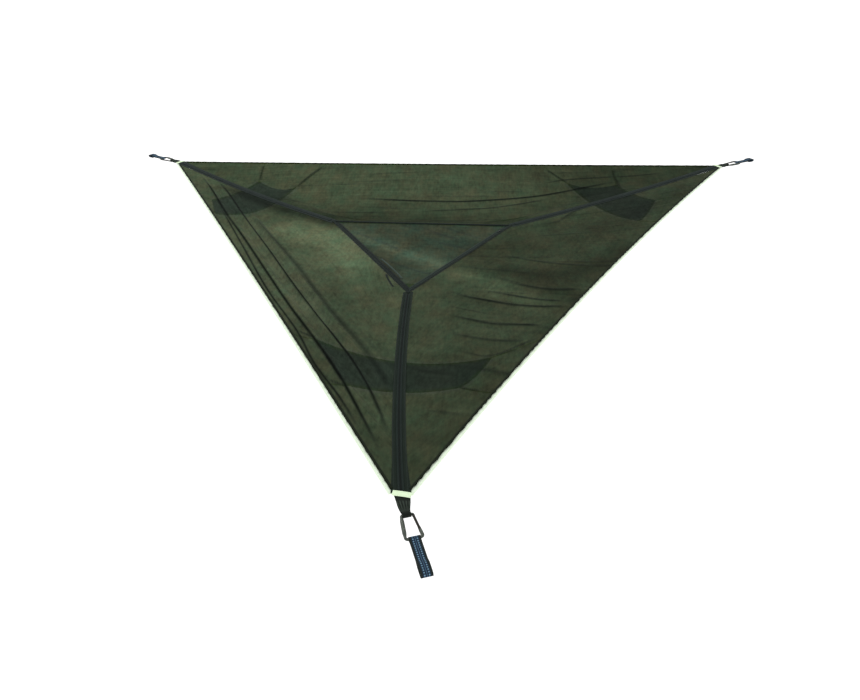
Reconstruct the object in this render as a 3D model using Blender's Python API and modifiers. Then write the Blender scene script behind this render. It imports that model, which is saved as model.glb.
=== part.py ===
"""A three-point hammock: a triangle of mesh with a zipped hatch, gear slings and strap hardware.

Lengths are metres. The sheet is laid out in a plan whose origin is the middle of the triangle,
with z = 0 at its three corners. Everything is parented to one empty, which moves the plan so
that the world's origin is the middle of the near strap's far eye.
"""

import math

import bmesh
import bpy
from mathutils import Matrix, Vector
from mathutils.bvhtree import BVHTree

# Plan of the sheet
SIDE = 4.0
CORNERS = ("a", "b", "c")
CORNER_HEADING = {"a": math.radians(150), "b": math.radians(30), "c": math.radians(-90)}
HATCH_CORNER = {"a": (-0.663, 0.272), "b": (0.454, 0.238), "c": (-0.111, -0.669)}
HATCH_DROP = 0.103
HATCH_SAG = 0.014
EDGES = (("a", "b"), ("b", "c"), ("c", "a"))
EDGE_BOW = {"ab": 0.010, "bc": 0.071, "ca": 0.014}
EDGE_SAG = {"ab": 0.001, "bc": 0.018, "ca": 0.012}
BAND_BOW = {"a": 0.0, "b": 0.0, "c": -0.024}
BAND_SAG = {"a": 0.026, "b": 0.018, "c": 0.020}
MESH_END = 0.042
MESH_END_HALF = 0.031
SEAM_HALF_GAP = 0.001

# Cloth and webbing
PANEL_THICK = 0.0012
BAND_WIDTH = 0.052
BAND_THICK = 0.0014
LOAD_TAPE_WIDTH = 0.022
LOAD_TAPE_THICK = 0.0014
EDGE_TAPE_IN = 0.008
EDGE_TAPE_OUT = 0.016
EDGE_TAPE_THICK = 0.0016
EDGE_TAPE_PAST_MESH = 0.010
LAYER_GAP = 0.0010
LOOP_GAP = 0.0007

# Folds of the panels: the far one is slack behind the hatch, the left one pleats along its edge
BASIN_DEPTH = 0.066
BASIN_PEAK = 0.27
BASIN_SIDE = 0.17
BASIN_FROM_BAND = 0.036
BASIN_SLANT = 0.5
HATCH_FAR_SIDE = 1.12
PLEATS_AT = (0.665, 0.765, 0.860)
PLEAT_HALF_WIDTH = 0.040
PLEAT_HEIGHT = 0.013
FAN_HEIGHT = 0.006
FAN_FOLDS = 4

# Hatch, seen from its edge inwards
FRAME_TAPE_WIDTH = 0.014
ZIP_TAPE_WIDTH = 0.009
ZIP_CHAIN_GAP = 0.0036
HATCH_EDGE_GAP = 0.001
HINGE_RISE = 0.0050
HINGE_GAP = 0.006
SLIDER_SHARE = 0.075
SLIDER_LENGTH = 0.012
SLIDER_REACH = 0.008
SLIDER_PLATE = 0.0015
SLIDER_GAP = 0.0007
LUG_HALF = 0.0012
LUG_THICK = 0.0010
LUG_GAP = 0.0004
PULL_LENGTH = 0.026
PULL_WIDTH = 0.0050
PULL_RISE = 0.0022
PULL_BAR_RADIUS = 0.0006
PULL_KNUCKLE_RADIUS = 0.0018
PULL_THICK = 0.0016
PULL_HOLE_RADIUS = 0.0013
PULL_HOLE_AT = 0.0035
HATCH_TIP_CUT = 0.03
HANDLE_INSET = 0.010
HANDLE_REACH = (0.10, 0.385)
HANDLE_WIDTH = 0.010
HANDLE_THICK = 0.0018
HANDLE_RISE = 0.0035
HANDLE_ARCH = 0.0058
TIE_FROM_CORNER = 0.238
TIE_OFF_FRAME = 0.003
TIE_RUN = 0.154
TIE_SPREAD = 0.028
TIE_BULGE = 0.004
TIE_WIDTH = 0.010
TIE_THICK = 0.0012

# Corner hardware, along the pull of the strap
WRAP_WIDTH = 0.024
WRAP_LENGTH = 0.066
WRAP_RISE = 0.0034
WRAP_CROWN = 0.001
WRAP_AT = 0.0245
WRAP_SHIFT = {"a": 0.0, "b": 0.0, "c": 0.00475}
WRAP_TURN = {"a": 0.0, "b": 0.0, "c": math.radians(-8.5)}
HARDWARE_AT = 0.021
PULL_TURN = {"a": 0.0, "b": 0.0, "c": math.radians(18.5)}
TAB_LENGTH = 0.090
TAB_STRAIGHTENS = 0.070
TAB_LEVEL = 0.0015
TAB_THICK = 0.0014
TAB_ROOT_HALF = 0.029
TAB_WAIST_AT = 0.066
TAB_WAIST_HALF = 0.0170
TAB_TIP_HALF = 0.0137
CARABINER_LENGTH = 0.100
ROD_RADIUS = 0.00475
SPINE_SWELL = 0.45
SPINE_EASE = 0.25
NOSE_SWELL = 0.20
NARROW_HALF = 0.0190
BROAD_HALF = 0.0280
NARROW_BEND = 0.0050
BROAD_BEND = 0.0080
PIN_AT = 0.009
NOSE_AT = 0.071
NOSE_GAP = 0.0006
GATE_RADIUS = 0.0043
GATE_END_RADIUS = 0.0041
LATCH_RADIUS = 0.0050
LATCH_LENGTH = 0.009
TONGUE_HALF_THICK = 0.0020
TONGUE_RADIUS = 0.0042
SLOT_HALF_THICK = 0.0023
SLOT_DEPTH = 0.0052
SHOULDER_RADIUS = 0.0049
PIN_RADIUS = 0.00135
PIN_HOLE_RADIUS = 0.0017
PIN_HALF_LENGTH = 0.0041
SPRING_RADIUS = 0.0016
SPRING_WIRE = 0.00030
SPRING_TURNS = 5
BORE_RADIUS = 0.0021
BORE_END = 0.024
STRAP_HALF = 0.0190
STRAP_THICK = 0.0016
STRAP_LEVEL = 0.0013
STRAP_EYE_START = 0.085
STRAP_LENGTH = 0.150
STRAP_EYE_HALF = 0.0085

# Gear slings: (distance in from the corner, sideways) of each sling's corners, outer pair first
SLING_CORNERS = {
    "a": ((0.66, -0.17), (0.655, 0.28), (0.91, -0.295), (0.79, 0.38)),
    "b": ((0.72, -0.15), (0.755, 0.215), (1.00, -0.32), (0.98, 0.50)),
    "c": ((0.743, -0.30), (0.745, 0.18), (1.16, -0.51), (1.037, 0.32)),
}
SLING_LINE_ENDS = {
    "a": (0.652, 0.74, 1.12, 0.98),
    "b": (0.58, 0.77, 1.18, 1.268),
    "c": (0.770, 0.700, 1.210, 1.210),
}
SLING_Z_OUTER = -0.080
SLING_Z_INNER = -0.115
SLING_SAG_OUTER = {"a": 0.020, "b": 0.018, "c": 0.032}
SLING_SAG_INNER = {"a": 0.085, "b": 0.056, "c": 0.080}
SLING_SIDE_SAG = {"a": 0.040, "b": 0.030, "c": 0.020}
LINE_RADIUS = 0.0013
LINE_GAP = 0.0008
LINE_POINTS = 6
LINE_SAG = 0.004

UP = Vector((0, 0, 1))
DOWN = Vector((0, 0, -1))

MATERIALS = {
    "mesh": ((0.048, 0.060, 0.030), 0.85, 0.0),
    "hatch_mesh": ((0.065, 0.090, 0.080), 0.85, 0.0),
    "band": ((0.020, 0.031, 0.030), 0.80, 0.0),
    "load_tape": ((0.016, 0.028, 0.036), 0.75, 0.0),
    "edge_tape": ((0.73, 1.00, 0.58), 0.65, 0.0),
    "tab": ((0.018, 0.026, 0.022), 0.80, 0.0),
    "metal": ((0.13, 0.145, 0.125), 0.42, 1.0),
    "strap": ((0.012, 0.018, 0.017), 0.80, 0.0),
    "zip": ((0.020, 0.024, 0.022), 0.50, 0.0),
    "handle": ((0.16, 0.21, 0.19), 0.75, 0.0),
}


def clear_scene():
    for old in list(bpy.data.objects):
        bpy.data.objects.remove(old)


def make_materials():
    """One Principled material for each name in MATERIALS."""
    made = {}
    for name, (colour, roughness, metallic) in MATERIALS.items():
        material = bpy.data.materials.new(name)
        material.use_nodes = True
        shader = material.node_tree.nodes["Principled BSDF"]
        shader.inputs["Base Color"].default_value = (*colour, 1.0)
        shader.inputs["Roughness"].default_value = roughness
        shader.inputs["Metallic"].default_value = metallic
        made[name] = material
    return made


def lerp(start, end, share):
    return start + (end - start) * share


def arch(share):
    """0 at both ends, 1 in the middle."""
    return 4 * share * (1 - share)


def smooth(share):
    """Eases from 0 to 1, flat at both ends and level outside them."""
    share = min(max(share, 0.0), 1.0)
    return share * share * (3 - 2 * share)


def outward(corner):
    heading = CORNER_HEADING[corner]
    return Vector((math.cos(heading), math.sin(heading), 0))


def sideways(corner):
    return UP.cross(outward(corner))


def plan_point(corner, inwards, side=0.0, z=0.0):
    """A point given by its distance in from a corner and its distance to one side."""
    apex = outward(corner) * SIDE / math.sqrt(3)
    return apex - outward(corner) * inwards + sideways(corner) * side + UP * z


def side_facing(corner, other):
    """+1 or -1: which side of a corner the edge towards another corner is on."""
    towards = outward(other) - outward(corner)
    return 1.0 if towards.dot(sideways(corner)) > 0 else -1.0


def edge_point(first, second, share, out=0.0, z=0.0):
    """A point on the mesh's edge, moved outwards and up by the last two lengths."""
    start = plan_point(first, MESH_END, MESH_END_HALF * side_facing(first, second))
    end = plan_point(second, MESH_END, MESH_END_HALF * side_facing(second, first))
    outwards = ((start + end) / 2).normalized()
    outwards.z = 0.0
    name = first + second
    bow = EDGE_BOW[name] * arch(share)
    sag = EDGE_SAG[name] * arch(share)
    return lerp(start, end, share) + outwards * (out - bow) + UP * (z - sag)


def hatch_point(corner, z=-HATCH_DROP):
    return Vector((*HATCH_CORNER[corner], z))


def band_point(corner, share, side=0.0):
    """A point on a radial band's middle line, from the hatch's corner out to the mesh's end."""
    start = hatch_point(corner)
    end = plan_point(corner, MESH_END)
    across = UP.cross(end - start).normalized()
    across.z = 0.0
    bow = BAND_BOW[corner] * arch(share)
    sag = BAND_SAG[corner] * arch(share)
    return lerp(start, end, share) + across * (bow + side) - UP * sag


def panel_side(corner, other, share):
    """The side of a panel along a band: close to its middle line, then opening to the mesh's end."""
    side = lerp(SEAM_HALF_GAP, MESH_END_HALF, share ** 3) * side_facing(corner, other)
    return band_point(corner, share, side)


def panel_folds(name, along, out):
    """How far a panel lies above its plain surface, from hatch (out = 0) to edge (out = 1)."""
    if name == "ab":
        across = lerp(HATCH_FAR_SIDE, SIDE, out) * BASIN_SLANT
        sides = 1.0
        for share in (along, 1 - along):
            sides *= smooth((share * across - BASIN_FROM_BAND) / BASIN_SIDE)
        if out < BASIN_PEAK:
            depth = smooth(out / BASIN_PEAK)
        else:
            depth = 1 - ((out - BASIN_PEAK) / (1 - BASIN_PEAK)) ** 1.3
        return -BASIN_DEPTH * sides * depth
    ends = smooth(along / 0.12) * smooth((1 - along) / 0.12)
    if name == "ca":
        height = 0.0
        for middle in PLEATS_AT:
            height += smooth(1 - abs(out - middle) / PLEAT_HALF_WIDTH)
        return PLEAT_HEIGHT * ends * height
    return FAN_HEIGHT * ends * arch(out) * math.sin(2 * math.pi * FAN_FOLDS * along)


def panel_surface(first, second):
    """A panel as a patch between four lines: hatch side, outer edge and two bands."""
    name = first + second

    def surface(along, out):
        inner = lerp(panel_side(first, second, 0), panel_side(second, first, 0), along)
        outer = edge_point(first, second, along)
        left = panel_side(first, second, out)
        right = panel_side(second, first, out)
        ruled = lerp(inner, outer, out) + lerp(left, right, along)
        twice = lerp(
            lerp(panel_side(first, second, 0), edge_point(first, second, 0), out),
            lerp(panel_side(second, first, 0), edge_point(first, second, 1), out),
            along,
        )
        return ruled - twice + UP * panel_folds(name, along, out)

    return surface


def fold_spacing(rows_inside, rows_outside, split):
    """Even rows up to split, then closer rows to the edge."""
    share = rows_inside / (rows_inside + rows_outside)

    def spaced(value):
        if value < share:
            return split * value / share
        return split + (1 - split) * (value - share) / (1 - share)

    return spaced


def grid_mesh(name, surface, columns, rows, column_at=None, row_at=None):
    """A plain grid laid on surface(u, v), where u and v run from 0 to 1."""
    grid = bmesh.new()
    bmesh.ops.create_grid(grid, x_segments=columns, y_segments=rows, size=0.5)
    for vertex in grid.verts:
        u = min(max(vertex.co.x + 0.5, 0.0), 1.0)
        v = min(max(vertex.co.y + 0.5, 0.0), 1.0)
        if column_at:
            u = column_at(u)
        if row_at:
            v = row_at(v)
        vertex.co = surface(u, v)
    mesh = bpy.data.meshes.new(name)
    grid.to_mesh(mesh)
    grid.free()
    return mesh


class Builder:
    """Makes objects in one collection, under one empty."""

    def __init__(self):
        self.materials = make_materials()
        self.parts = bpy.data.collections.new("triangle_hammock")
        bpy.context.scene.collection.children.link(self.parts)
        self.root = self.empty("plan_origin", Vector((0, 0, 0)))
        self.root.location = -near_eye_point()
        self.sheet_trees = []

    def empty(self, name, location, parent=None, turn=0.0):
        """A parent empty on a joint's axis, turned about its own z."""
        made = bpy.data.objects.new(name, None)
        made.empty_display_size = 0.02
        self.parts.objects.link(made)
        made.parent = parent
        made.location = location
        made.rotation_euler = (0, 0, turn)
        return made

    def add(self, name, mesh, material, parent=None, smooth_angle=None):
        """An object for a finished mesh."""
        made = bpy.data.objects.new(name, mesh)
        if not mesh.materials:
            mesh.materials.append(self.materials[material])
        if smooth_angle:
            mesh.shade_smooth()
            mesh.set_sharp_from_angle(angle=math.radians(smooth_angle))
        self.parts.objects.link(made)
        made.parent = parent or self.root
        return made

    def cloth(self, name, mesh, material, thickness, parent=None):
        """Cloth or webbing: an open surface given its thickness."""
        made = self.add(name, mesh, material, parent)
        solid = made.modifiers.new("thickness", "SOLIDIFY")
        solid.thickness = thickness
        solid.offset = 0.0
        solid.use_even_offset = True
        return made

    def height_at(self, point):
        """Height of the mesh sheet under a point of the plan, or at its nearest edge."""
        start = Vector((point.x, point.y, 1.0))
        hits = [tree.ray_cast(start, DOWN)[0] for tree in self.sheet_trees]
        heights = [hit.z for hit in hits if hit]
        if heights:
            return max(heights)
        flat = Vector((point.x, point.y, -HATCH_DROP / 2))
        near = [tree.find_nearest(flat) for tree in self.sheet_trees]
        return min(near, key=lambda found: found[3])[0].z

    def draped(self, surface, rise):
        """The same plan as surface(u, v), laid on the sheet and raised."""

        def laid(u, v):
            point = surface(u, v)
            point.z = self.height_at(point) + rise
            return point

        return laid


def hardware_heading(corner):
    return CORNER_HEADING[corner] + PULL_TURN[corner]


def hardware_point(corner, along):
    """A point on the line that the strap pulls along, from the corner's tab outwards."""
    heading = hardware_heading(corner)
    return plan_point(corner, HARDWARE_AT) + Vector((math.cos(heading), math.sin(heading), 0)) * along


def near_eye_point():
    """Middle of the near strap's far eye."""
    eye_middle = (STRAP_EYE_START + STRAP_LENGTH) / 2
    return hardware_point("c", TAB_LENGTH + CARABINER_LENGTH + eye_middle)


def build_panels(builder):
    """Three mesh panels. Their plain grids are kept as the surface that the tapes lie on."""
    sizes = {"ab": (24, 12), "bc": (20, 11), "ca": (22, 20)}
    names = {"ab": "mesh_panel_far", "bc": "mesh_panel_right", "ca": "mesh_panel_left"}
    for first, second in EDGES:
        key = first + second
        columns, rows = sizes[key]
        row_at = fold_spacing(4, 16, 0.60) if key == "ca" else None
        surface = panel_surface(first, second)
        mesh = grid_mesh(names[key], surface, columns, rows, row_at=row_at)
        points = [vertex.co.copy() for vertex in mesh.vertices]
        faces = [tuple(face.vertices) for face in mesh.polygons]
        builder.sheet_trees.append(BVHTree.FromPolygons(points, faces))
        builder.cloth(names[key], mesh, "mesh", PANEL_THICK)


def band_height(builder, corner, share, side):
    """Height on a band: from its middle line, straight to the mesh under each of its sides."""
    middle = band_point(corner, share).z
    if abs(side) < 1e-6:
        return middle
    half = math.copysign(BAND_WIDTH / 2, side)
    edge = builder.height_at(band_point(corner, share, half))
    return lerp(middle, edge, side / half)


def build_bands(builder):
    """The doubled band over each seam, and the load tape along its middle."""
    band_rise = PANEL_THICK / 2 + LAYER_GAP + BAND_THICK / 2
    tape_rise = band_rise + BAND_THICK / 2 + LAYER_GAP + LOAD_TAPE_THICK / 2
    pieces = (
        ("radial_band_", BAND_WIDTH, BAND_THICK, band_rise, "band"),
        ("load_tape_", LOAD_TAPE_WIDTH, LOAD_TAPE_THICK, tape_rise, "load_tape"),
    )
    for corner in CORNERS:
        start = hatch_corner_outside(corner)
        for stem, width, thickness, rise, material in pieces:

            def strip(across, share, corner=corner, width=width, start=start, rise=rise):
                along = lerp(start, 1.0, share)
                side = (across - 0.5) * width
                point = band_point(corner, along, side)
                point.z = band_height(builder, corner, along, side) + rise
                return point

            builder.cloth(stem + corner, grid_mesh(stem + corner, strip, 2, 14), material, thickness)


def hatch_corner_outside(corner):
    """Share of a band's length that the hatch's frame tape takes at its inner end."""
    length = (plan_point(corner, MESH_END) - hatch_point(corner)).length
    return (2 * FRAME_TAPE_WIDTH + 0.012) / length


def build_edge_tapes(builder):
    """The pale webbing under the mesh's outer edge, and the piece of it across each corner."""
    drop = -(PANEL_THICK / 2 + 2 * LAYER_GAP + EDGE_TAPE_THICK / 2)
    past = EDGE_TAPE_PAST_MESH / SIDE
    for first, second in EDGES:

        def strip(share, across, first=first, second=second):
            along = lerp(-past, 1 + past, share)
            out = lerp(-EDGE_TAPE_IN, EDGE_TAPE_OUT, across)
            point = edge_point(first, second, along, out)
            if out < 0:
                point.z = min(point.z, builder.height_at(point))
            point.z += drop
            return point

        name = "edge_tape_" + first + second
        builder.cloth(name, grid_mesh(name, strip, 24, 2), "edge_tape", EDGE_TAPE_THICK)
    for corner in CORNERS:

        def wrap(along, across):
            x = (across - 0.5) * WRAP_WIDTH
            y = (along - 0.5) * WRAP_LENGTH
            return Vector((x, y, WRAP_RISE + WRAP_CROWN * arch(along)))

        name = "corner_wrap_" + corner
        made = builder.cloth(name, grid_mesh(name, wrap, 6, 1), "edge_tape", EDGE_TAPE_THICK)
        made.location = plan_point(corner, WRAP_AT, WRAP_SHIFT[corner])
        made.rotation_euler = (0, 0, CORNER_HEADING[corner] + WRAP_TURN[corner])


def inset_corner(corner, inset):
    """A corner of the hatch's triangle moved inwards from both of its sides."""
    return inset_between(corner, {other: inset for other in CORNERS if other != corner})


def inset_between(corner, insets):
    """A corner of the hatch moved inwards from the side towards each other corner by its inset."""
    here = hatch_point(corner)
    (first, off_first), (second, off_second) = insets.items()
    to_first = (hatch_point(first) - here).normalized()
    to_second = (hatch_point(second) - here).normalized()
    return here + (to_second * off_first + to_first * off_second) / math.sin(to_first.angle(to_second))


def hatch_strip(route, near, far, rise):
    """A strip along some sides of the hatch, between two insets, mitred at its corners."""
    legs = len(route) - 1

    def surface(share, across):
        leg = min(int(share * legs + 1e-6), legs - 1)
        inset = lerp(near, far, across)
        start = inset_corner(route[leg], inset)
        end = inset_corner(route[leg + 1], inset)
        point = lerp(start, end, share * legs - leg)
        point.z += rise
        return point

    return surface


def build_hatch_frame(builder):
    """The hem round the opening, as a closed ring, and the zip tape sewn inside two sides."""
    rise = PANEL_THICK / 2 + 2 * LAYER_GAP + EDGE_TAPE_THICK / 2
    steps_a_side = 16
    ring = bmesh.new()
    rows = []
    for inset in (0.0, -FRAME_TAPE_WIDTH):
        row = []
        for here, after in (("a", "b"), ("b", "c"), ("c", "a")):
            for step in range(steps_a_side):
                start = inset_corner(here, inset)
                end = inset_corner(after, inset)
                point = lerp(start, end, step / steps_a_side)
                if inset:
                    point.z = builder.height_at(point) + rise
                else:
                    point.z += rise
                row.append(ring.verts.new(point))
        rows.append(row)
    count = len(rows[0])
    for i in range(count):
        j = (i + 1) % count
        ring.faces.new((rows[0][i], rows[0][j], rows[1][j], rows[1][i]))
    mesh = bpy.data.meshes.new("hatch_frame_tape")
    ring.to_mesh(mesh)
    ring.free()
    builder.cloth("hatch_frame_tape", mesh, "band", EDGE_TAPE_THICK)
    near = HATCH_EDGE_GAP
    far = near + ZIP_TAPE_WIDTH
    strip = hatch_strip(("a", "c", "b"), near, far, 0.0)
    mesh = grid_mesh("zip_tape_frame", strip, 12, 1)
    builder.cloth("zip_tape_frame", mesh, "zip", PANEL_THICK)


def hinge_line():
    """Middle of the hatch's far side, where its flap folds, and the direction along it."""
    start = hatch_point("a")
    end = hatch_point("b")
    return (start + end) / 2 + UP * HINGE_RISE, (end - start).normalized()


def build_hatch(builder):
    """The flap that lifts about the far side: its panel, its zip tape and its handle."""
    middle, _ = hinge_line()
    pivot = builder.empty("hatch_pivot", middle, builder.root)
    near = HATCH_EDGE_GAP + ZIP_TAPE_WIDTH + ZIP_CHAIN_GAP
    far = near + ZIP_TAPE_WIDTH
    strip = hatch_strip(("a", "c", "b"), near, far, 0.0)

    def local(surface):
        return lambda u, v: surface(u, v) - middle

    mesh = grid_mesh("zip_tape_flap", local(strip), 12, 1)
    builder.cloth("zip_tape_flap", mesh, "zip", PANEL_THICK, pivot)
    inset = far + HATCH_EDGE_GAP
    tip = inset_corner("c", inset)
    left = inset_between("a", {"c": inset, "b": HINGE_GAP})
    right = inset_between("b", {"c": inset, "a": HINGE_GAP})
    low_left = lerp(tip, left, HATCH_TIP_CUT)
    low_right = lerp(tip, right, HATCH_TIP_CUT)

    def panel(across, share):
        point = lerp(lerp(low_left, low_right, across), lerp(left, right, across), share)
        point.z -= HATCH_SAG * arch(share) * arch(across)
        return point

    mesh = grid_mesh("hatch_panel", local(panel), 8, 9)
    builder.cloth("hatch_panel", mesh, "hatch_mesh", PANEL_THICK, pivot)
    top = inset_corner("a", inset + HANDLE_INSET)
    low = inset_corner("c", inset + HANDLE_INSET)
    across_handle = UP.cross(top - low).normalized() * HANDLE_WIDTH

    def handle(share, across):
        point = lerp(low, top, lerp(*HANDLE_REACH, share)) + across_handle * (across - 0.5)
        point.z += HANDLE_RISE + HANDLE_ARCH * arch(share)
        return point

    mesh = grid_mesh("hatch_handle", local(handle), 8, 1)
    builder.cloth("hatch_handle", mesh, "handle", HANDLE_THICK, pivot)


def build_tie(builder):
    """The strip sewn outside the hatch's left side, which hangs towards its lowest corner."""
    side = (hatch_point("a") - hatch_point("c")).normalized()
    away = UP.cross(side)
    first_out = FRAME_TAPE_WIDTH + TIE_OFF_FRAME + TIE_WIDTH / 2
    start = hatch_point("c") + side * TIE_FROM_CORNER + away * first_out
    rise = PANEL_THICK / 2 + LAYER_GAP + TIE_THICK / 2

    def strip(share, across):
        out = TIE_SPREAD * share + TIE_BULGE * arch(share) + (across - 0.5) * TIE_WIDTH
        return start + away * out - side * TIE_RUN * share

    mesh = grid_mesh("hatch_tie", builder.draped(strip, rise), 8, 1)
    builder.cloth("hatch_tie", mesh, "band", TIE_THICK)


def cylinder(radius, start, end, sides=20, axis="Z"):
    """A closed cylinder as a plain mesh object outside the parts collection."""
    shape = bmesh.new()
    bmesh.ops.create_cone(
        shape,
        cap_ends=True,
        segments=sides,
        radius1=radius,
        radius2=radius,
        depth=end - start,
    )
    move = Matrix.Translation((0, 0, (start + end) / 2))
    turn = Matrix.Identity(4)
    if axis == "X":
        turn = Matrix.Rotation(math.radians(90), 4, "Y")
    if axis == "Y":
        turn = Matrix.Rotation(math.radians(-90), 4, "X")
    bmesh.ops.transform(shape, matrix=turn @ move, verts=shape.verts)
    return loose_object("cylinder", shape)


def block(low, high):
    """A closed box as a plain mesh object outside the parts collection."""
    shape = bmesh.new()
    bmesh.ops.create_cube(shape, size=1.0)
    middle = (Vector(low) + Vector(high)) / 2
    size = Vector(high) - Vector(low)
    matrix = Matrix.Translation(middle) @ Matrix.Diagonal((*size, 1.0))
    bmesh.ops.transform(shape, matrix=matrix, verts=shape.verts)
    return loose_object("block", shape)


def loose_object(name, shape):
    mesh = bpy.data.meshes.new(name)
    shape.to_mesh(mesh)
    shape.free()
    made = bpy.data.objects.new(name, mesh)
    bpy.context.scene.collection.objects.link(made)
    return made


def tube_object(name, points, radius, swell=None, resolution=3):
    """A tube with closed ends along the points, as a plain mesh object."""
    curve = bpy.data.curves.new(name, "CURVE")
    curve.dimensions = "3D"
    curve.bevel_depth = radius
    curve.bevel_resolution = resolution
    curve.use_fill_caps = True
    spline = curve.splines.new("POLY")
    spline.points.add(len(points) - 1)
    for i, point in enumerate(points):
        spline.points[i].co = (*point, 1.0)
        spline.points[i].radius = swell[i] if swell else 1.0
    drawn = bpy.data.objects.new(name, curve)
    bpy.context.scene.collection.objects.link(drawn)
    bpy.context.view_layer.update()
    mesh = bpy.data.meshes.new_from_object(drawn.evaluated_get(bpy.context.evaluated_depsgraph_get()))
    bpy.data.objects.remove(drawn)
    shape = bmesh.new()
    shape.from_mesh(mesh)
    bmesh.ops.remove_doubles(shape, verts=shape.verts, dist=1e-6)
    bmesh.ops.recalc_face_normals(shape, faces=shape.faces)
    return loose_object(name, shape)


def combine(base, tool, operation):
    """Applies one Boolean to base and removes the tool."""
    change = base.modifiers.new("combine", "BOOLEAN")
    change.operation = operation
    change.object = tool
    bpy.context.view_layer.update()
    graph = bpy.context.evaluated_depsgraph_get()
    mesh = bpy.data.meshes.new_from_object(base.evaluated_get(graph))
    base.modifiers.clear()
    base.data = mesh
    bpy.data.objects.remove(tool)


def placed(tool, location):
    tool.location = location
    return tool


def finished_mesh(base, name):
    """The mesh of a loose object, which is removed."""
    mesh = base.data.copy()
    mesh.name = name
    bpy.data.objects.remove(base)
    return mesh


def carabiner_half_width(x):
    return lerp(NARROW_HALF, BROAD_HALF, x / CARABINER_LENGTH)


def carabiner_taper():
    return math.atan2(BROAD_HALF - NARROW_HALF, CARABINER_LENGTH)


def rounded(before, corner, after, radius, steps):
    """Points of an arc that rounds off a corner."""
    to_before = (before - corner).normalized()
    to_after = (after - corner).normalized()
    half_angle = to_before.angle(to_after) / 2
    middle = corner + (to_before + to_after).normalized() * radius / math.sin(half_angle)
    reach = radius / math.tan(half_angle)
    first = (corner + to_before * reach - middle).normalized()
    last = (corner + to_after * reach - middle).normalized()
    return [middle + first.slerp(last, step / steps) * radius for step in range(steps + 1)]


def carabiner_route():
    """Middle line of the body from the gate's pin round both ends to the nose, with its swell."""
    pin = Vector((PIN_AT, carabiner_half_width(PIN_AT), 0))
    nose = Vector((NOSE_AT, carabiner_half_width(NOSE_AT), 0))
    corners = (
        (Vector((0, NARROW_HALF, 0)), NARROW_BEND),
        (Vector((0, -NARROW_HALF, 0)), NARROW_BEND),
        (Vector((CARABINER_LENGTH, -BROAD_HALF, 0)), BROAD_BEND),
        (Vector((CARABINER_LENGTH, BROAD_HALF, 0)), BROAD_BEND),
    )
    stops = [pin] + [corner for corner, _ in corners] + [nose]
    points = [pin]
    swell = [1.0]
    for i, (corner, radius) in enumerate(corners):
        arc = rounded(stops[i], corner, stops[i + 2], radius, 5)
        if i == 2:
            for step in range(1, 6):
                share = step / 6
                points.append(lerp(points[-step], arc[0], share))
                swell.append(1.0 + SPINE_SWELL * smooth(min(share, 1 - share) / SPINE_EASE))
        points.extend(arc)
        last_swell = NOSE_SWELL if i == 3 else 0.0
        swell.extend(1.0 + last_swell * step / (len(arc) - 1) for step in range(len(arc)))
    points.append(nose)
    swell.append(1.0 + NOSE_SWELL)
    return points, swell


def carabiner_body_mesh():
    """The bent rod, its flat tongue for the gate, and the pin's hole."""
    points, swell = carabiner_route()
    body = tube_object("body", points, ROD_RADIUS, swell, 3)
    pin = points[0]
    combine(body, placed(cylinder(TONGUE_RADIUS, -TONGUE_HALF_THICK, TONGUE_HALF_THICK), pin), "UNION")
    reach = 2 * ROD_RADIUS
    for low, high in ((TONGUE_HALF_THICK, reach), (-reach, -TONGUE_HALF_THICK)):
        combine(body, placed(cylinder(SHOULDER_RADIUS, low, high, 24), pin), "DIFFERENCE")
    combine(body, placed(cylinder(PIN_HOLE_RADIUS, -reach, reach, 12), pin), "DIFFERENCE")
    return finished_mesh(body, "carabiner_body")


def gate_length():
    """Straight distance from the pin to the nose, less its gap."""
    pin = Vector((PIN_AT, carabiner_half_width(PIN_AT)))
    nose = Vector((NOSE_AT, carabiner_half_width(NOSE_AT)))
    return (nose - pin).length - NOSE_GAP


def gate_mesh():
    """The gate: a rod with a forked end for the tongue, a bore for its spring and a latch."""
    length = gate_length()
    gate = cylinder(GATE_RADIUS, 0.0, length, 16, "X")
    combine(gate, cylinder(GATE_END_RADIUS, -0.0034, 0.0034, 20), "UNION")
    latch = cylinder(LATCH_RADIUS, length - LATCH_LENGTH, length - 0.0004, 16, "X")
    combine(gate, latch, "UNION")
    slot = block(
        (-0.01, -0.01, -SLOT_HALF_THICK), (SLOT_DEPTH, 0.01, SLOT_HALF_THICK)
    )
    combine(gate, slot, "DIFFERENCE")
    combine(gate, cylinder(BORE_RADIUS, 0.001, BORE_END, 12, "X"), "DIFFERENCE")
    combine(gate, cylinder(PIN_HOLE_RADIUS, -0.01, 0.01, 12), "DIFFERENCE")
    return finished_mesh(gate, "carabiner_gate")


def spring_mesh():
    """The coil in the gate's bore, from the tongue to the bore's end."""
    start = SLOT_DEPTH + 0.001
    end = BORE_END - 0.0008
    steps = SPRING_TURNS * 8
    points = []
    for step in range(steps + 1):
        angle = 2 * math.pi * step / 8
        x = lerp(start, end, step / steps)
        points.append(Vector((x, SPRING_RADIUS * math.cos(angle), SPRING_RADIUS * math.sin(angle))))
    return finished_mesh(tube_object("spring", points, SPRING_WIRE, None, 0), "gate_spring")


def ribbon_mesh(name, path, half_widths):
    """Webbing seen from its side: the path's (x, z) points, with a half width at each."""

    def surface(share, across):
        i = round(share * (len(path) - 1))
        x, z = path[i]
        return Vector((x, (across - 0.5) * 2 * half_widths[i], z))

    return grid_mesh(name, surface, len(path) - 1, 1)


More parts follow.
